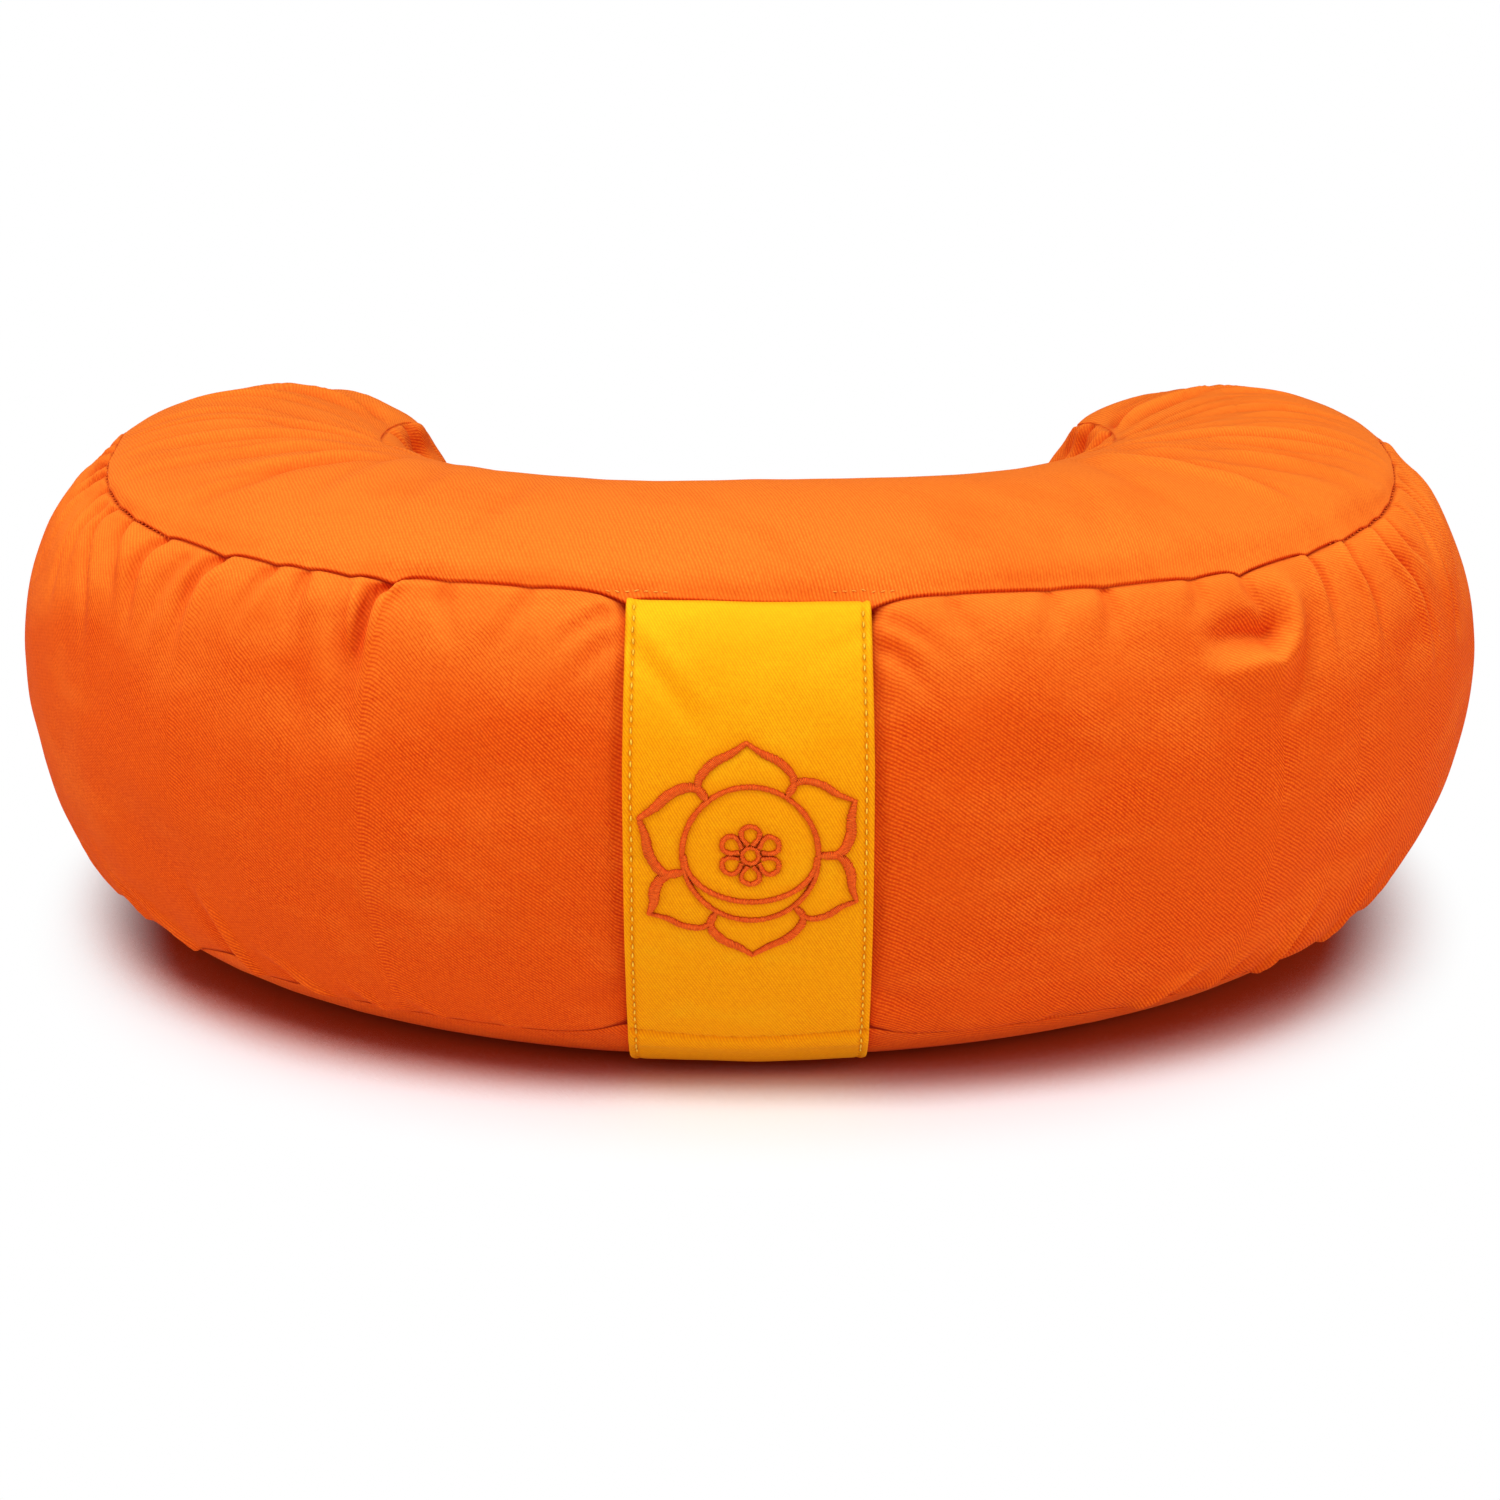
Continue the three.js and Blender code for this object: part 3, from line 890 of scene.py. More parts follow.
# the band's half width at places down it, and how far down its top edge starts at places across it
BAND_HALF_AT = (
    [0, 18, 45, 90, 122, 134, 142, 148.6, 150.2],
    [32.7, 33.0, 33.6, 33.7, 33.6, 33.5, 33.7, 33.6, 32.2],
)
BAND_TOP_AT = ([-33, 0, 33], [-1.4, -0.4, 0.4])
BAND_THICK = 1.5
BAND_CLEAR = 0.4
BAND_LENGTH = 150.2  # from the top seam, over the wall and on under the base
ROUNDING = 0.8  # of the band's edges
HEM = 2.4  # from the band's side to its line of stitches
STITCH_PITCH = 2.9
STITCH_LENGTH = 1.5
BAND_ROW = STITCH_PITCH / 4
BASE_LINE = 128.2  # where the band is sewn down over the base seam
LOTUS_DROP = 69.0
LOTUS_ASIDE = 0.5
BAND_TUCK = np.array([0, 2.34, -0.91])  # how far its top end is tucked back and down into the seam
BAND_LOWEST = 0.25  # above the floor
PULL_DEPTH = 0.4  # how far the embroidery draws the cloth in
PULL_REACH = 1.9
# Soft creases and ridges that run straight across one side of the band, -1 for the left: how far down each
# meets the band's middle line, its slope and half width, how far it stands out, and how far from the middle
# it starts and is full.
BAND_CREASES = table("side at slope width rise starts full",
    (-1, 74, 0.1, 1.6, -0.5, 20, 32),
    (-1, 49, 1.1, 4.5, -0.6, 4, 26),
    (-1, 40, 1.1, 4.5, 0.5, 4, 26),
    (1, 25.5, -0.5, 3.0, -0.4, 8, 30),
)


def band_columns():
    """Places across the band as shares of its half width, close together at the sides."""
    from_side = np.array([0, 0.2, 0.45, 0.8, 1.3, 1.7, 2.05, HEM, 2.75, 3.1, 3.6])
    side = (BAND_HALF - from_side) / BAND_HALF
    inside = np.linspace(-side[-1], side[-1], 57)[1:-1]
    return np.concatenate([-side, inside, side[::-1]])


def band_grid():
    """The band's smooth path over the front of the cushion, with places across and down in mm."""
    columns = band_columns()
    down = np.arange(0, BAND_LENGTH + BAND_ROW / 2, BAND_ROW)
    turns = np.radians(np.linspace(-12, 12, 41))
    points, distance, top_seam, _ = smooth_sections(Stations(turns, 0 * turns))
    points = settled(points, smooth_sections(loop_stations(60, 16))[0])
    start = np.interp(points[CROWN_SAMPLES, :, 0], *BAND_TOP_AT)
    wanted = top_seam + down[:, None] + start * (1 - down[:, None] / BAND_LENGTH)
    path = resample(points, distance, wanted)
    half = np.interp(down, *BAND_HALF_AT)
    grid = np.zeros((len(down), len(columns), 3))
    for row in range(len(down)):
        line = path[row]
        steps = np.linalg.norm(np.diff(line, axis=0), axis=-1)
        place = np.concatenate([[0], np.cumsum(steps)])
        place -= place[len(place) // 2]
        for axis in range(3):
            grid[row, :, axis] = np.interp(columns * half[row], place, line[:, axis])
    across = half[:, None] * columns
    return grid, across, np.broadcast_to(down[:, None], across.shape)


def band_height(grid, across, down, side, strokes):
    """How far the band's face stands off its path; side is how far each point is from the nearer side."""
    end = BAND_LENGTH - down
    from_edge = np.clip(np.minimum(side, end) / ROUNDING, 0, 1)
    height = BAND_THICK * np.sqrt(1 - (1 - from_edge) ** 2)

    # the hem stands up a little outside its line of stitches, and each stitch sinks in
    hem_line = side - HEM
    height += 0.15 * bell(side - 1.3, 0.9) - 0.15 * bell(hem_line, 0.55)
    hole = np.abs((down / STITCH_PITCH) % 1 - 0.125) * STITCH_PITCH
    height -= 0.55 * bell(hem_line, 0.5) * bell(hole, 0.5)
    height += 0.35 * lumps(grid, 23, 4.4) + 0.12 * lumps(grid, 9, 2.2)

    # sewn down over the base seam in a shallow scalloped groove
    scallop = np.abs(np.cos(across / 5.6 * math.tau))
    sag = BASE_LINE + 2.4 * (1 - (across / BAND_HALF) ** 2) + 0.5 * scallop
    height -= (0.9 + 0.6 * (1 - scallop)) * bell(down - sag, 0.8) * smoothstep(0, 1.5, side)
    height += 0.8 * bell(down - sag - 5, 4.0)
    for crease in BAND_CREASES:
        away = down - crease["at"] - crease["slope"] * across
        reached = smoothstep(crease["starts"], crease["full"], crease["side"] * across)
        height += crease["rise"] * bell(away, crease["width"]) * reached
    return height - PULL_DEPTH * pull_of(strokes, across, down) * smoothstep(1, 3, side)


def make_band(strokes):
    """The band, and the surface of its face."""
    grid, across, down = band_grid()
    normals = grid_normals(grid, closed=False)
    side = np.abs(across[:, :1]) - np.abs(across)
    height = band_height(grid, across, down, side, strokes)
    tuck = bell(down, 1.5)[..., None] * BAND_TUCK
    outer = grid + normals * (BAND_CLEAR + height)[..., None] + tuck
    inner = grid + normals * BAND_CLEAR + tuck
    for layer in (outer, inner):
        layer[..., 2] = np.maximum(layer[..., 2], BAND_LOWEST)

    rows, columns = across.shape
    index = np.arange(rows * columns).reshape(rows, columns)
    lower = index + rows * columns
    front = np.stack([index[:-1, :-1], index[1:, :-1], index[1:, 1:], index[:-1, 1:]], -1).reshape(-1, 4)
    back = np.stack([lower[:-1, :-1], lower[:-1, 1:], lower[1:, 1:], lower[1:, :-1]], -1).reshape(-1, 4)
    faces = front.tolist() + back.tolist()
    rim = list(index[0]) + list(index[1:, -1]) + list(index[-1, -2::-1]) + list(index[-2:0:-1, 0])
    for a, b in zip(rim, rim[1:] + rim[:1]):
        faces.append((int(a), int(b), int(b + rows * columns), int(a + rows * columns)))
    points = np.concatenate([outer.reshape(-1, 3), inner.reshape(-1, 3)])
    band = new_piece("carry_band", points, faces, yellow_twill)
    flat = np.stack([across, down], -1).reshape(-1, 2)
    write_cloth_map(band.data, np.concatenate([flat, flat])[np.array(faces).ravel()])
    return band, Surface(outer, BAND_HALF * band_columns(), down, closed=False)


def pull_of(strokes, across, down):
    """How near each place on the band is to the embroidery, from 0 to 1."""
    place = np.stack([across, down], -1).reshape(-1, 2)
    spots = np.concatenate([stroke["line"][::3] for stroke in strokes])
    best = np.full(len(place), 1e9)
    for spot in spots:
        best = np.minimum(best, ((place - spot) ** 2).sum(axis=1))
    return np.exp(-best / PULL_REACH**2).reshape(across.shape)


# ---------------------------------------------------------------- embroidery and stitches

THREAD_PITCH = 0.4
THREAD_RADIUS = 0.25
THREAD_END_RADIUS = 0.16
THREAD_PLACES = (-1, -0.82, -0.4, 0, 0.4, 0.82, 1)  # of a thread's points, as shares of half its length
SEAM_PITCH = 2.6  # of the stitches that bridge the seams, and of those on the crown
CROWN_PITCH = 2.9
RING_ACROSS = 17.8
RING_UP = 18.9
# One side of a petal, from the ring to the tip: how far out from the ring to the tip, how far round from
# the petal's middle to its end, and the stroke's width in mm.
PETAL_SIDE = [
    (0, 1, 1.1), (0.26, 1.02, 1.6), (0.5, 0.88, 2.1), (0.68, 0.56, 2.3), (0.78, 0.26, 1.9), (1, 0, 0.9),
]
# The petals of a hand-drawn lotus: degrees at which each starts, has its tip and ends, how far out its
# tip is in mm, and how heavy its first and second strokes are.
PETALS = table("start tip end reach heavy",
    (60, 92, 127, 30.5, (0.9, 1.0)),
    (127, 162, 196, 30.5, (1.15, 1.15)),
    (196, 214, 242, 32.0, (1.25, 0.7)),
    (242, 271, 308, 30.0, (1.0, 0.9)),
    (308, 334, 360, 31.0, (0.7, 1.05)),
    (0, 29, 60, 31.0, (1.15, 0.8)),
)
BOW_ACROSS = 17.4  # the crescent inside the ring
BOW_DOWN = 12.9
ROSETTE_PETALS = 6
ROSETTE_EYE = 2.3
# A rosette petal's loop: mm from the middle, and degrees to the side of its own direction.
ROSETTE_LOOP = [(3.2, -14), (5.4, -24), (7.4, -17), (8.2, 0), (7.4, 17), (5.4, 24), (3.2, 14)]
ROSETTE_STROKE = 1.1


def stroke_of(knots):
    """A stroke from knots (right, up, width), in mm from the lotus's middle, as places on the band."""
    line = curve_through(knots, THREAD_PITCH)
    places = np.stack([LOTUS_ASIDE + line[:, 0], LOTUS_DROP - line[:, 1]], axis=1)
    return {"line": places, "width": line[:, 2]}


def polar(radius, angle, squash=1.0):
    return radius * math.cos(angle), squash * radius * math.sin(angle)


def lotus_strokes():
    """A six-petalled lotus round a ring with a crescent in it and a small rosette in the middle."""
    tall = RING_UP / RING_ACROSS
    ring = [polar(RING_ACROSS, k * math.tau / 24, tall) + (1.2,) for k in range(25)]
    bow = [polar(BOW_ACROSS, math.pi + k * math.pi / 12, BOW_DOWN / BOW_ACROSS) for k in range(13)]
    strokes = [stroke_of(ring), stroke_of([(across, up - 0.5, 1.3) for across, up in bow])]
    for petal in PETALS:
        for end, heavy in zip((petal["start"], petal["end"]), petal["heavy"]):
            knots = []
            for out, aside, width in PETAL_SIDE:
                turn = math.radians(petal["tip"] + aside * (end - petal["tip"]))
                inner = math.hypot(*polar(RING_ACROSS, turn, tall))
                knots.append(polar(inner + (petal["reach"] - inner) * out, turn) + (width * heavy,))
            strokes.append(stroke_of(knots))
    eye = [polar(ROSETTE_EYE, k * math.tau / 8) + (ROSETTE_STROKE,) for k in range(9)]
    strokes.append(stroke_of(eye))
    for petal in range(ROSETTE_PETALS):
        middle = math.radians(90) + petal * math.tau / ROSETTE_PETALS
        loop = [polar(radius, middle + math.radians(aside)) for radius, aside in ROSETTE_LOOP]
        strokes.append(stroke_of([place + (ROSETTE_STROKE,) for place in loop]))
    return strokes


def make_embroidery(strokes, band_face):
    """Satin stitch: raised threads laid side by side across each stroke."""
    threads = []
    for stroke in strokes:
        line, width = stroke["line"], stroke["width"]
        along = np.gradient(line, axis=0)
        along /= np.linalg.norm(along, axis=1, keepdims=True)
        across = np.stack([-along[:, 1], along[:, 0]], axis=1)
        for spot, ahead, aside, wide in zip(line, along, across, width):
            reach = 0.5 * wide + RANDOM.uniform(-0.12, 0.16)
            slant = 0.28 * wide
            tall = 0.66 + 0.15 * wide + RANDOM.uniform(-0.07, 0.07)
            thread = []
            for share in THREAD_PLACES:
                place = spot + share * reach * aside + share * slant * 0.5 * ahead
                height = -0.12 + tall * (1 - abs(share) ** 2.6)
                point, normal = band_face.at(place[0], place[1], height)
                thread.append((point, normal, THREAD_RADIUS if abs(share) < 1 else THREAD_END_RADIUS))
            threads.append(thread)
    piece = tubes("lotus_embroidery", threads, 5, orange_thread)
    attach(piece, "root")
    return piece


def make_band_stitches(band_face):
    """The two lines of stitches down the band's sides."""
    threads = []
    count = int((BAND_LENGTH - 6) / STITCH_PITCH)
    for side in (-1, 1):
        for k in range(1, count):
            start = (k + 0.125) * STITCH_PITCH + 0.55
            half = float(np.interp(start, *BAND_HALF_AT))
            place = side * (half - HEM) * BAND_HALF / half + RANDOM.uniform(-0.12, 0.12)
            lean = RANDOM.uniform(-0.12, 0.12)
            end = (place + lean, start + STITCH_LENGTH)
            threads.append(stitch(band_face, (place, start), end, radius=0.27, proud=0.22))
    piece = tubes("band_stitches", threads, 6, yellow_thread)
    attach(piece, "root")
    return piece


def make_seam_stitches(surfaces, loop):
    """Stitches that bridge both seams round the outside of the horns, which pull them open."""
    threads = []
    crown, wall, base = surfaces["crown"], surfaces["wall"], surfaces["base"]
    for upper, at_base in ((crown, False), (base, True)):
        for k in range(int(loop / SEAM_PITCH)):
            place = k * SEAM_PITCH + RANDOM.uniform(-0.25, 0.25)
            if not SEAM_SHUT < abs((place + loop / 2) % loop - loop / 2) < SEAM_INSIDE:
                continue
            drop = 0.0
            if at_base:
                drop = float(np.interp(place, wall.places, wall.distance[-1], period=loop))
            first, _ = upper.at(place, 0.4)
            second, _ = wall.at(place + 0.4, drop - 0.4 if at_base else 0.4)
            outward = first + second - 2 * wall.at(place, drop)[0]
            outward /= max(np.linalg.norm(outward), 1e-6)
            line = [
                (first - 0.4 * outward, 0.26),
                (0.7 * first + 0.3 * second - 0.2 * outward, 0.38),
                (0.3 * first + 0.7 * second - 0.2 * outward, 0.38),
                (second - 0.4 * outward, 0.26),
            ]
            threads.append([(point, outward, radius) for point, radius in line])
    piece = tubes("seam_stitches", threads, 5, seam_thread)
    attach(piece, "root")
    return piece


def make_crown_stitches(crown, loop):
    """The short run of topstitching on the crown above each top corner of the band, clear of nips."""
    threads = []
    for side, first in ((-1, 43), (1, 44)):
        for k in range(7):
            place = side * (first - CROWN_PITCH * k)
            rise = 2.9 + float(seam_shift(TOP_SEAM_LINE, np.array([place]), loop, TOP_NIPS)[0])
            end = (place - side * STITCH_LENGTH, rise)
            threads.append(stitch(crown, (place, rise), end, radius=0.24, proud=0.14))
    piece = tubes("crown_stitches", threads, 5, crown_thread)
    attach(piece, "root")
    return piece


# ---------------------------------------------------------------- materials


class Nodes:
    """A small helper that adds shader nodes and links them."""

    def __init__(self, name):
        self.material = bpy.data.materials.new(name)
        self.material.use_nodes = True
        self.tree = self.material.node_tree
        self.shader = self.tree.nodes["Principled BSDF"]

    def add(self, kind, settings=None, **inputs):
        """A node; an input is given by its name, or by its number after an underscore."""
        node = self.tree.nodes.new(kind)
        for key, value in (settings or {}).items():
            setattr(node, key, value)
        for key, value in inputs.items():
            self.put(node.inputs[int(key[1:]) if key[1:].isdigit() else key], value)
        return node

    def put(self, socket, value):
        if isinstance(value, bpy.types.NodeSocket):
            self.tree.links.new(value, socket)
        else:
            socket.default_value = value

    def math(self, operation, first, second=0.0, third=0.0):
        node = self.add("ShaderNodeMath", {"operation": operation}, _0=first, _1=second, _2=third)
        return node.outputs[0]

    def swing(self, value, scale, rest):
        """The rest, and scale times how far the value is from a half."""
        return self.math("MULTIPLY_ADD", self.math("SUBTRACT", value, 0.5), scale, rest)

    def noise(self, place, scale, detail, roughness=0.6):
        inputs = {"Vector": place, "Scale": scale, "Detail": detail, "Roughness": roughness}
        return self.add("ShaderNodeTexNoise", **inputs).outputs[0]

    def ramp(self, value, low, high, kind="SMOOTHSTEP"):
        """How far the value is from low to high, from 0 to 1."""
        node = self.add("ShaderNodeMapRange", {"interpolation_type": kind}, Value=value)
        self.put(node.inputs["From Min"], low)
        self.put(node.inputs["From Max"], high)
        return node.outputs[0]

    def part(self, vector, axis):
        return self.add("ShaderNodeSeparateXYZ", _0=vector).outputs[axis]

    def open_sky(self, reach, samples=6):
        node = self.add("ShaderNodeAmbientOcclusion", {"samples": samples}, Distance=reach)
        return node.outputs["AO"]

    def vector(self, operation, first, second, third=(0, 0, 0)):
        node = self.add("ShaderNodeVectorMath", {"operation": operation}, _0=first, _1=second, _2=third)
        return node.outputs[0]

    def tinted(self, colour, amount, tint):
        """The colour, with each of its parts changed by amount times its share in tint."""
        return self.vector("MULTIPLY", colour, self.vector("MULTIPLY_ADD", amount, tint, (1, 1, 1)))

    def mix(self, share, first, second):
        node = self.add("ShaderNodeMix", {"data_type": "RGBA"})
        self.put(node.inputs["Factor"], share)
        self.put(node.inputs[6], first)
        self.put(node.inputs[7], second)
        return node.outputs[2]

    def finish(self, colour, roughness, specular):
        """Sets the shader's main sockets."""
        self.put(self.shader.inputs["Base Color"], colour)
        self.put(self.shader.inputs["Roughness"], roughness)
        self.put(self.shader.inputs["Specular IOR Level"], specular)


# How much of each of red, green and blue goes where shade is painted into the cloth: between ribs, in folds,
# in creases and along seams. Red goes least, so that the dark places stay a warm, deep orange.
RIB_TINT = (0.35, 1.0, 1.2)
FOLD_SHADE_TINT = (0.18, 0.75, 0.8)
CREASE_SHADE_TINT = (0.06, 0.2, 0.24)
SEAM_SHADE_TINT = (0.66, 0.92, 0.95)
FOLD_SHADE_REACH = 0.005


def twill(name, deep, pale_lit, slope, rib, contrast, relief):
    """Twill: fine ribs that slope down to the right in the map called cloth, with painted light where it
    faces up.

    rib is the distance between ribs and relief their height, in metres.
    """
    n = Nodes(name)
    cloth = n.add("ShaderNodeUVMap", {"uv_map": "cloth"}).outputs[0]
    across, down = n.part(cloth, 0), n.part(cloth, 1)
    fall = n.math("MULTIPLY", down, math.cos(slope) / rib)
    turned = n.math("MULTIPLY_ADD", across, -math.sin(slope) / rib, fall)
    run = n.math("MULTIPLY", down, math.sin(slope) / rib)
    along = n.math("MULTIPLY_ADD", across, math.cos(slope) / rib, run)
    phase = n.swing(n.noise(cloth, 110.0, 3.0), 1.5, turned)
    ribs = n.math("MULTIPLY_ADD", n.math("SINE", n.math("MULTIPLY", phase, math.tau)), 0.5, 0.5)
    # each rib is a row of short slanting floats, a half step out from the next rib's
    stagger = n.math("MULTIPLY_ADD", n.math("FLOOR", phase), 0.5, n.math("MULTIPLY", along, 0.8))
    floats = n.math("SINE", n.math("MULTIPLY", stagger, math.tau))
    weave = n.math("MULTIPLY", ribs, n.math("MULTIPLY_ADD", floats, 0.18, 0.82))

    # the ground pales in clouds, and is painted lighter where it faces up, as if lit from above
    drawn_out = n.add("ShaderNodeMapping", Vector=cloth, Scale=(0.6, 1.3, 1)).outputs[0]
    up = n.part(n.add("ShaderNodeNewGeometry").outputs["Normal"], 2)
    # fade is painted top light: 0 where the cloth faces sideways or down, 1 where it faces up
    fade = n.ramp(up, 0.05, 0.85)
    ground = n.mix(n.swing(n.noise(drawn_out, 30.0, 5.0, 0.65), 1.25, fade), deep, pale_lit)
    # ribs catch the light and the grooves between them hold it back
    fleck = n.noise(cloth, 700.0, 2.0)
    mottled = n.swing(fleck, 0.9, weave)
    # the ribs show less in patches, and where the cloth faces up and has its painted top light
    calm = n.math("MULTIPLY_ADD", fade, -0.6 * contrast, contrast)
    crisp = n.math("MULTIPLY", calm, n.math("MULTIPLY_ADD", n.noise(cloth, 45.0, 3.0), 1.6, 0.2))
    colour = n.tinted(ground, n.math("MULTIPLY", n.math("SUBTRACT", mottled, 0.5), crisp), RIB_TINT)
    # painted shade: the cloth is darker where folds close it in, and the marks below paint shade in troughs,
    # highlight on ridges and a dark line along each seam
    colour = n.tinted(colour, n.math("SUBTRACT", n.open_sky(FOLD_SHADE_REACH), 1.0), FOLD_SHADE_TINT)
    for mark, tint in (("crease", CREASE_SHADE_TINT), ("seam", SEAM_SHADE_TINT)):
        level = n.add("ShaderNodeAttribute", {"attribute_name": mark}).outputs["Fac"]
        colour = n.tinted(colour, n.math("MULTIPLY", level, -1.0), tint)
    n.finish(colour, 0.9, 0.08)
    surface = n.math("MULTIPLY_ADD", fleck, 0.35, weave)
    bump = n.add("ShaderNodeBump", Height=surface, Distance=relief, Strength=0.7)
    n.put(n.shader.inputs["Normal"], bump.outputs[0])
    n.shader.inputs["Sheen Weight"].default_value = 0.1
    n.shader.inputs["Sheen Roughness"].default_value = 0.45
    n.shader.inputs["Sheen Tint"].default_value = pale_lit
    return n.material


THREAD_SHADE_TINT = (0.8, 1.2, 1.2)
THREAD_SHADE_REACH = 0.0015


def thread(name, dark, light, roughness):
    """Embroidery or sewing thread, mottled a little along its length."""
    n = Nodes(name)
    place = n.add("ShaderNodeNewGeometry").outputs["Position"]
    change = n.ramp(n.noise(place, 900.0, 2.0), 0.25, 0.75, "LINEAR")
    # painted shade where a stroke or stitch meets the cloth
    painted_shade = n.math("SUBTRACT", n.open_sky(THREAD_SHADE_REACH), 1.0)
    n.finish(n.tinted(n.mix(change, dark, light), painted_shade, THREAD_SHADE_TINT), roughness, 0.12)
    return n.material


# DEEP is each cloth's colour where it faces sideways or down; PALE_LIT where it faces up, which is painted
# top light, and in its paler clouds
ORANGE_DEEP = (0.76, 0.086, 0.0028, 1)
ORANGE_PALE_LIT = (0.96, 0.205, 0.017, 1)
YELLOW_DEEP = (0.89, 0.320, 0.0006, 1)
YELLOW_PALE_LIT = (0.90, 0.51, 0.007, 1)

orange_twill = twill("orange_twill", ORANGE_DEEP, ORANGE_PALE_LIT, slope=math.radians(38.5), rib=0.92 * MM,
                     contrast=0.95, relief=0.08 * MM)
yellow_twill = twill("yellow_twill", YELLOW_DEEP, YELLOW_PALE_LIT, slope=math.radians(59), rib=0.76 * MM,
                     contrast=0.45, relief=0.05 * MM)
orange_thread = thread("orange_thread", (0.80, 0.085, 0.004, 1), (1.0, 0.165, 0.012, 1), 0.55)
seam_thread = thread("seam_thread", (0.70, 0.085, 0.004, 1), (0.90, 0.160, 0.010, 1), 0.8)
crown_thread = thread("crown_thread", (1.0, 0.30, 0.03, 1), (1.0, 0.42, 0.06, 1), 0.6)
yellow_thread = thread("yellow_thread", (1.0, 0.54, 0.02, 1), (1.0, 0.68, 0.07, 1), 0.6)


# ---------------------------------------------------------------- stage, light and camera


def area_light(name, place, target, size, power, colour=(1, 1, 1)):
    light = bpy.data.lights.new(name, "AREA")
    light.shape = "DISK"
    light.size = size
    light.energy = power
    light.color = colour
    lamp = bpy.data.objects.new(name, light)
    lamp.location = place
    lamp.rotation_euler = (Vector(target) - Vector(place)).to_track_quat("-Z", "Y").to_euler()
    bpy.context.scene.collection.objects.link(lamp)


FLOOR_HALF = 4.0
FLOOR_COLOUR = (0.8, 0.8, 0.8, 1)
PLAN_SHIFT = 0.056  # how far back the middle of the seam's circle lies, in metres
CLEAR_START = 0.198  # from here out the floor turns plain white, in metres from that middle
CLEAR_END = 0.246
CLEAR_SOONER = 0.056  # how much sooner it does so at the sides and behind than in front
CLEAR_LATER = 0.044
FLOOR_SEEN = (0.95, 1.01, 1.04)  # the floor's colour as the camera sees it; it keeps the shadow
CONTACT_SHADOW_COLOUR = (0.32, 0.045, 0.012)  # painted shadow colour, where the cushion's overhang closes over the floor
CONTACT_REACH = 0.042
CONTACT_SHUT = 0.22  # the share of open sky at which the floor has the painted shadow's full colour
CONTACT_OPEN = 0.72
CONTACT_LATE = (0.95, 1.3, 1.35)  # how late red, green and blue open, as powers
BAND_GLOW = 0.16  # how much the painted shadow lifts in front of the pale band
BAND_GLOW_REACH = 0.05


def seen_floor_with_painted_shadow(n, place):
    """The floor's colour as the camera sees it, with a painted shadow where the cushion closes over it."""
    side = n.math("DIVIDE", n.part(place, 0), BAND_GLOW_REACH)
    glow = n.math("EXPONENT", n.math("MULTIPLY", n.math("MULTIPLY", side, side), -1.0))
    sky = n.math("MULTIPLY_ADD", glow, BAND_GLOW, n.open_sky(CONTACT_REACH, 12))
    lit = n.ramp(sky, CONTACT_SHUT, CONTACT_OPEN)
    # green and blue open later than red, so that the shadow's edge stays warm
    red, green, blue = [n.math("POWER", lit, late) for late in CONTACT_LATE]
    opened = n.add("ShaderNodeCombineXYZ", _0=red, _1=green, _2=blue).outputs[0]
    change = tuple(seen - painted_shade for seen, painted_shade in zip(FLOOR_SEEN, CONTACT_SHADOW_COLOUR))
    return n.vector("MULTIPLY_ADD", opened, change, CONTACT_SHADOW_COLOUR)


def plain_white(n, place):
    """The share of plain white in the floor, which grows with distance from the cushion."""
    # distance from the middle of the seam's circle, in the cushion's own squashed plan
    plan = n.add("ShaderNodeMapping", {"vector_type": "TEXTURE"}, Vector=place)
    plan.inputs["Location"].default_value = (0, PLAN_SHIFT, 0)
    plan.inputs["Scale"].default_value = (1, DEPTH_RATIO, 1)
    plan = plan.outputs[0]
    away = n.add("ShaderNodeVectorMath", {"operation": "LENGTH"}, _0=plan).outputs["Value"]
    ahead = n.math("MINIMUM", n.math("DIVIDE", n.part(plan, 1), away), 0.0)
    ahead = n.math("MULTIPLY", ahead, ahead)
    sooner = n.math("MULTIPLY_ADD", ahead, -CLEAR_SOONER, CLEAR_SOONER - CLEAR_LATER)
    return n.ramp(n.math("ADD", away, sooner), CLEAR_START, CLEAR_END)


def make_floor():
    mesh = bpy.data.meshes.new("floor")
    corners = [(-1, -1), (1, -1), (1, 1), (-1, 1)]
    mesh.from_pydata([(FLOOR_HALF * x, FLOOR_HALF * y, 0) for x, y in corners], [], [(0, 1, 2, 3)])
    floor = bpy.data.objects.new("floor", mesh)
    bpy.context.scene.collection.objects.link(floor)
    n = Nodes("floor")
    camera_ray = n.add("ShaderNodeLightPath").outputs["Is Camera Ray"]
    place = n.add("ShaderNodeNewGeometry").outputs["Position"]
    n.finish(n.mix(camera_ray, FLOOR_COLOUR, seen_floor_with_painted_shadow(n, place)), 1.0, 0.0)
    white = n.add("ShaderNodeEmission", Strength=1.0)
    share = n.math("MULTIPLY", plain_white(n, place), camera_ray)
    blend = n.add("ShaderNodeMixShader", _0=share, _1=n.shader.outputs[0], _2=white.outputs[0])
    n.put(n.tree.nodes["Material Output"].inputs["Surface"], blend.outputs[0])
    mesh.materials.append(n.material)


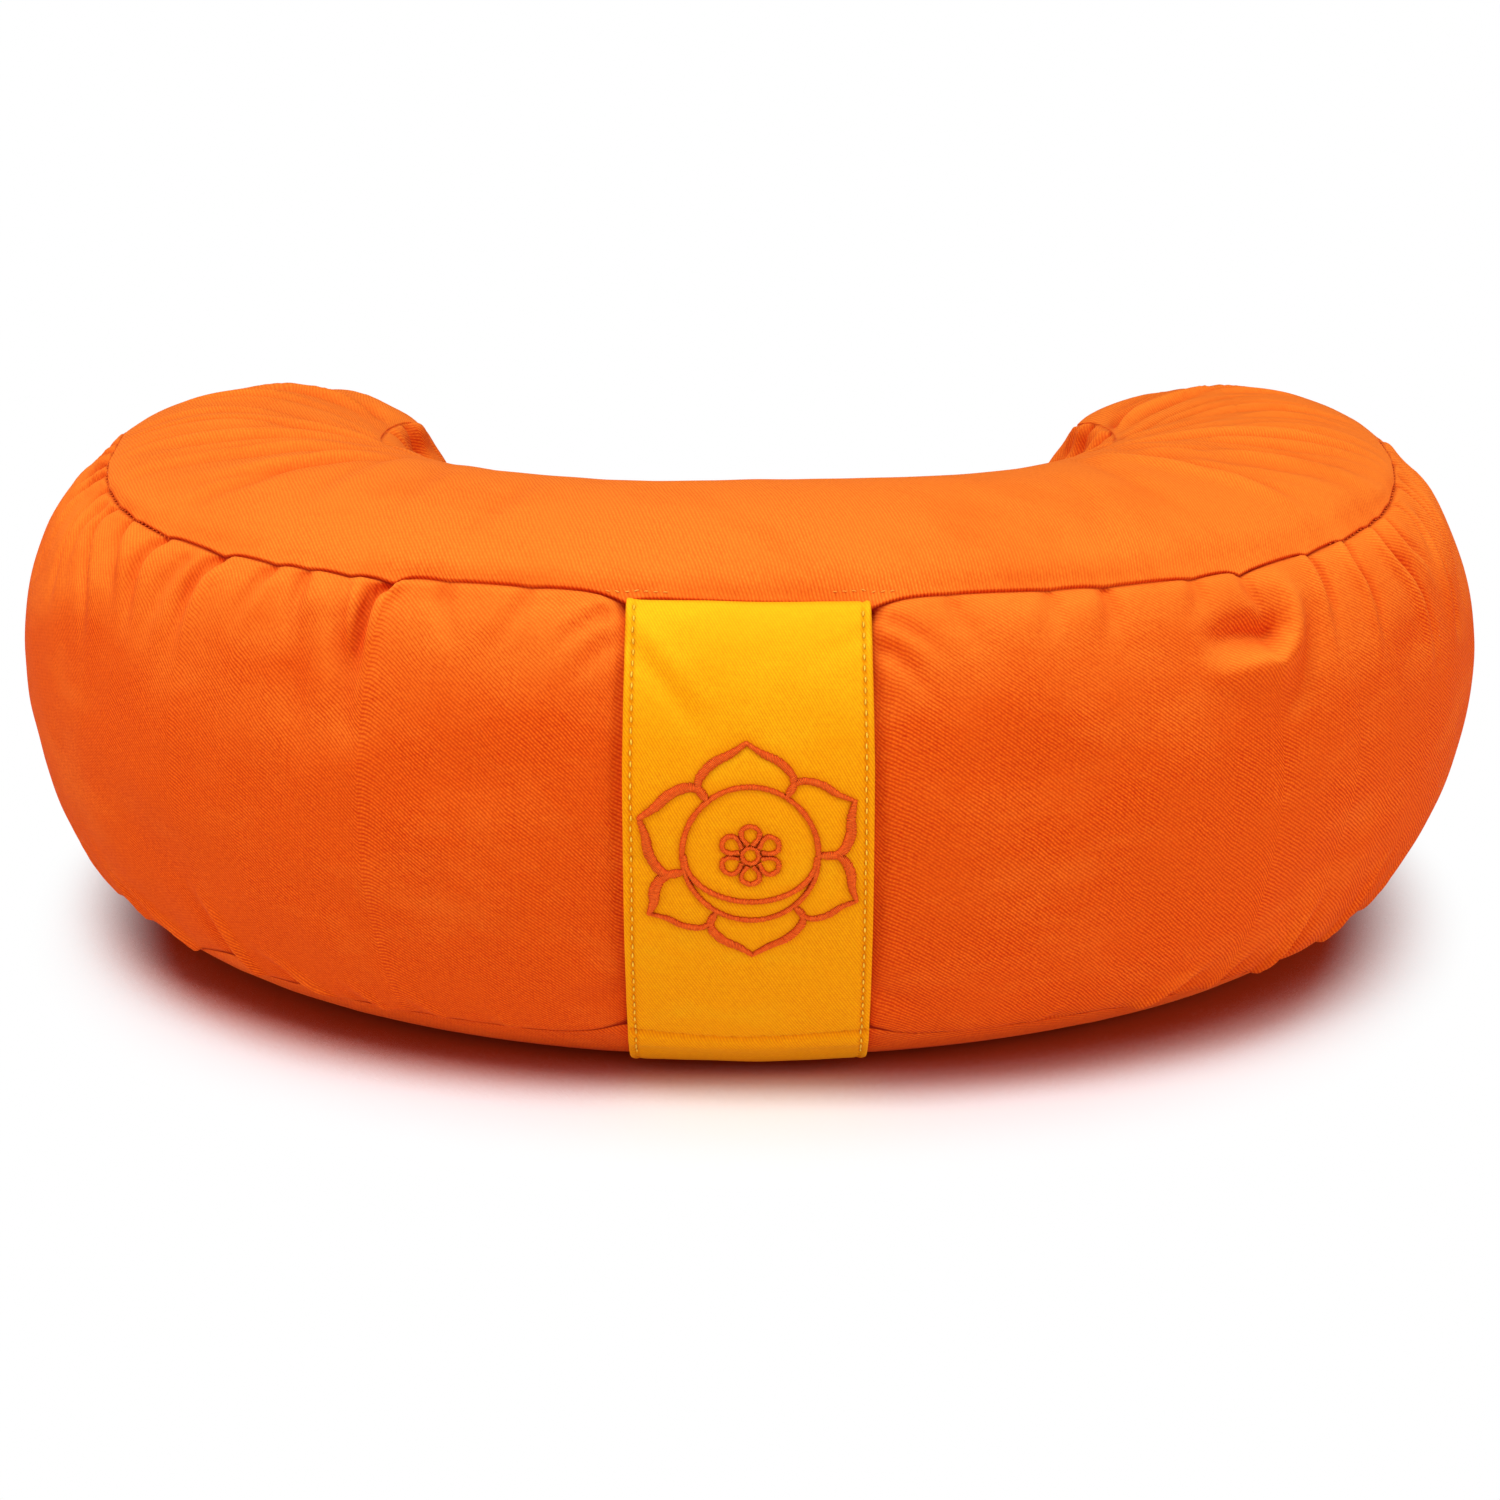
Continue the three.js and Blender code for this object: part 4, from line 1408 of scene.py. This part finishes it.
def make_world():
    """An even sky that lights the part, and that the camera sees as plain white."""
    world = bpy.data.worlds.new("studio")
    bpy.context.scene.world = world
    world.use_nodes = True
    tree = world.node_tree
    background = tree.nodes["Background"]
    path = tree.nodes.new("ShaderNodeLightPath")
    level = tree.nodes.new("ShaderNodeMix")
    level.inputs[2].default_value = WORLD_LEVEL
    level.inputs[3].default_value = 1.0
    tree.links.new(path.outputs["Is Camera Ray"], level.inputs[0])
    tree.links.new(level.outputs[0], background.inputs["Strength"])
    background.inputs["Color"].default_value = (1, 1, 1, 1)


WORLD_LEVEL = 0.345
LAMPS = table("name place target size power",
    ("key", (-0.45, -0.45, 1.45), (0, 0, 0.08), 0.6, 8.7),
    ("top", (-0.1, -0.1, 1.5), (0, 0, 0.08), 1.4, 4.7),
    ("front", (-0.3, -2.2, 0.35), (0, 0, 0.08), 0.9, 5.2),
    ("right", (1.8, -0.9, 0.6), (0, 0, 0.08), 1.5, 19.5),
    ("left", (-1.8, -0.9, 0.6), (0, 0, 0.08), 1.5, 11.5),
)

CAMERA_DISTANCE = 1.024
CAMERA_RISE = math.radians(17.2)
AIM_BELOW = math.radians(1.505)
LENS = 75.8


def make_camera():
    data = bpy.data.cameras.new("camera")
    data.lens = LENS
    data.sensor_width = 36
    data.shift_x = 0.001
    camera = bpy.data.objects.new("camera", data)
    target = Vector((0, PLAN_SHIFT, 0.07))
    back = Vector((0, -math.cos(CAMERA_RISE), math.sin(CAMERA_RISE)))
    camera.location = target + CAMERA_DISTANCE * back
    camera.rotation_euler = (math.pi / 2 - CAMERA_RISE - AIM_BELOW, 0, 0)
    bpy.context.scene.collection.objects.link(camera)
    bpy.context.scene.camera = camera


surfaces, loop = make_cushion()
strokes = lotus_strokes()
band, band_face = make_band(strokes)
embroidery = make_embroidery(strokes, band_face)
band_stitches = make_band_stitches(band_face)
make_seam_stitches(surfaces, loop)
make_crown_stitches(surfaces["crown"], loop)
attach(band, "root")
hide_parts("handle_band")
make_floor()
make_world()
for lamp in LAMPS:
    area_light(**lamp)
make_camera()
bpy.context.scene.view_settings.view_transform = "Standard"
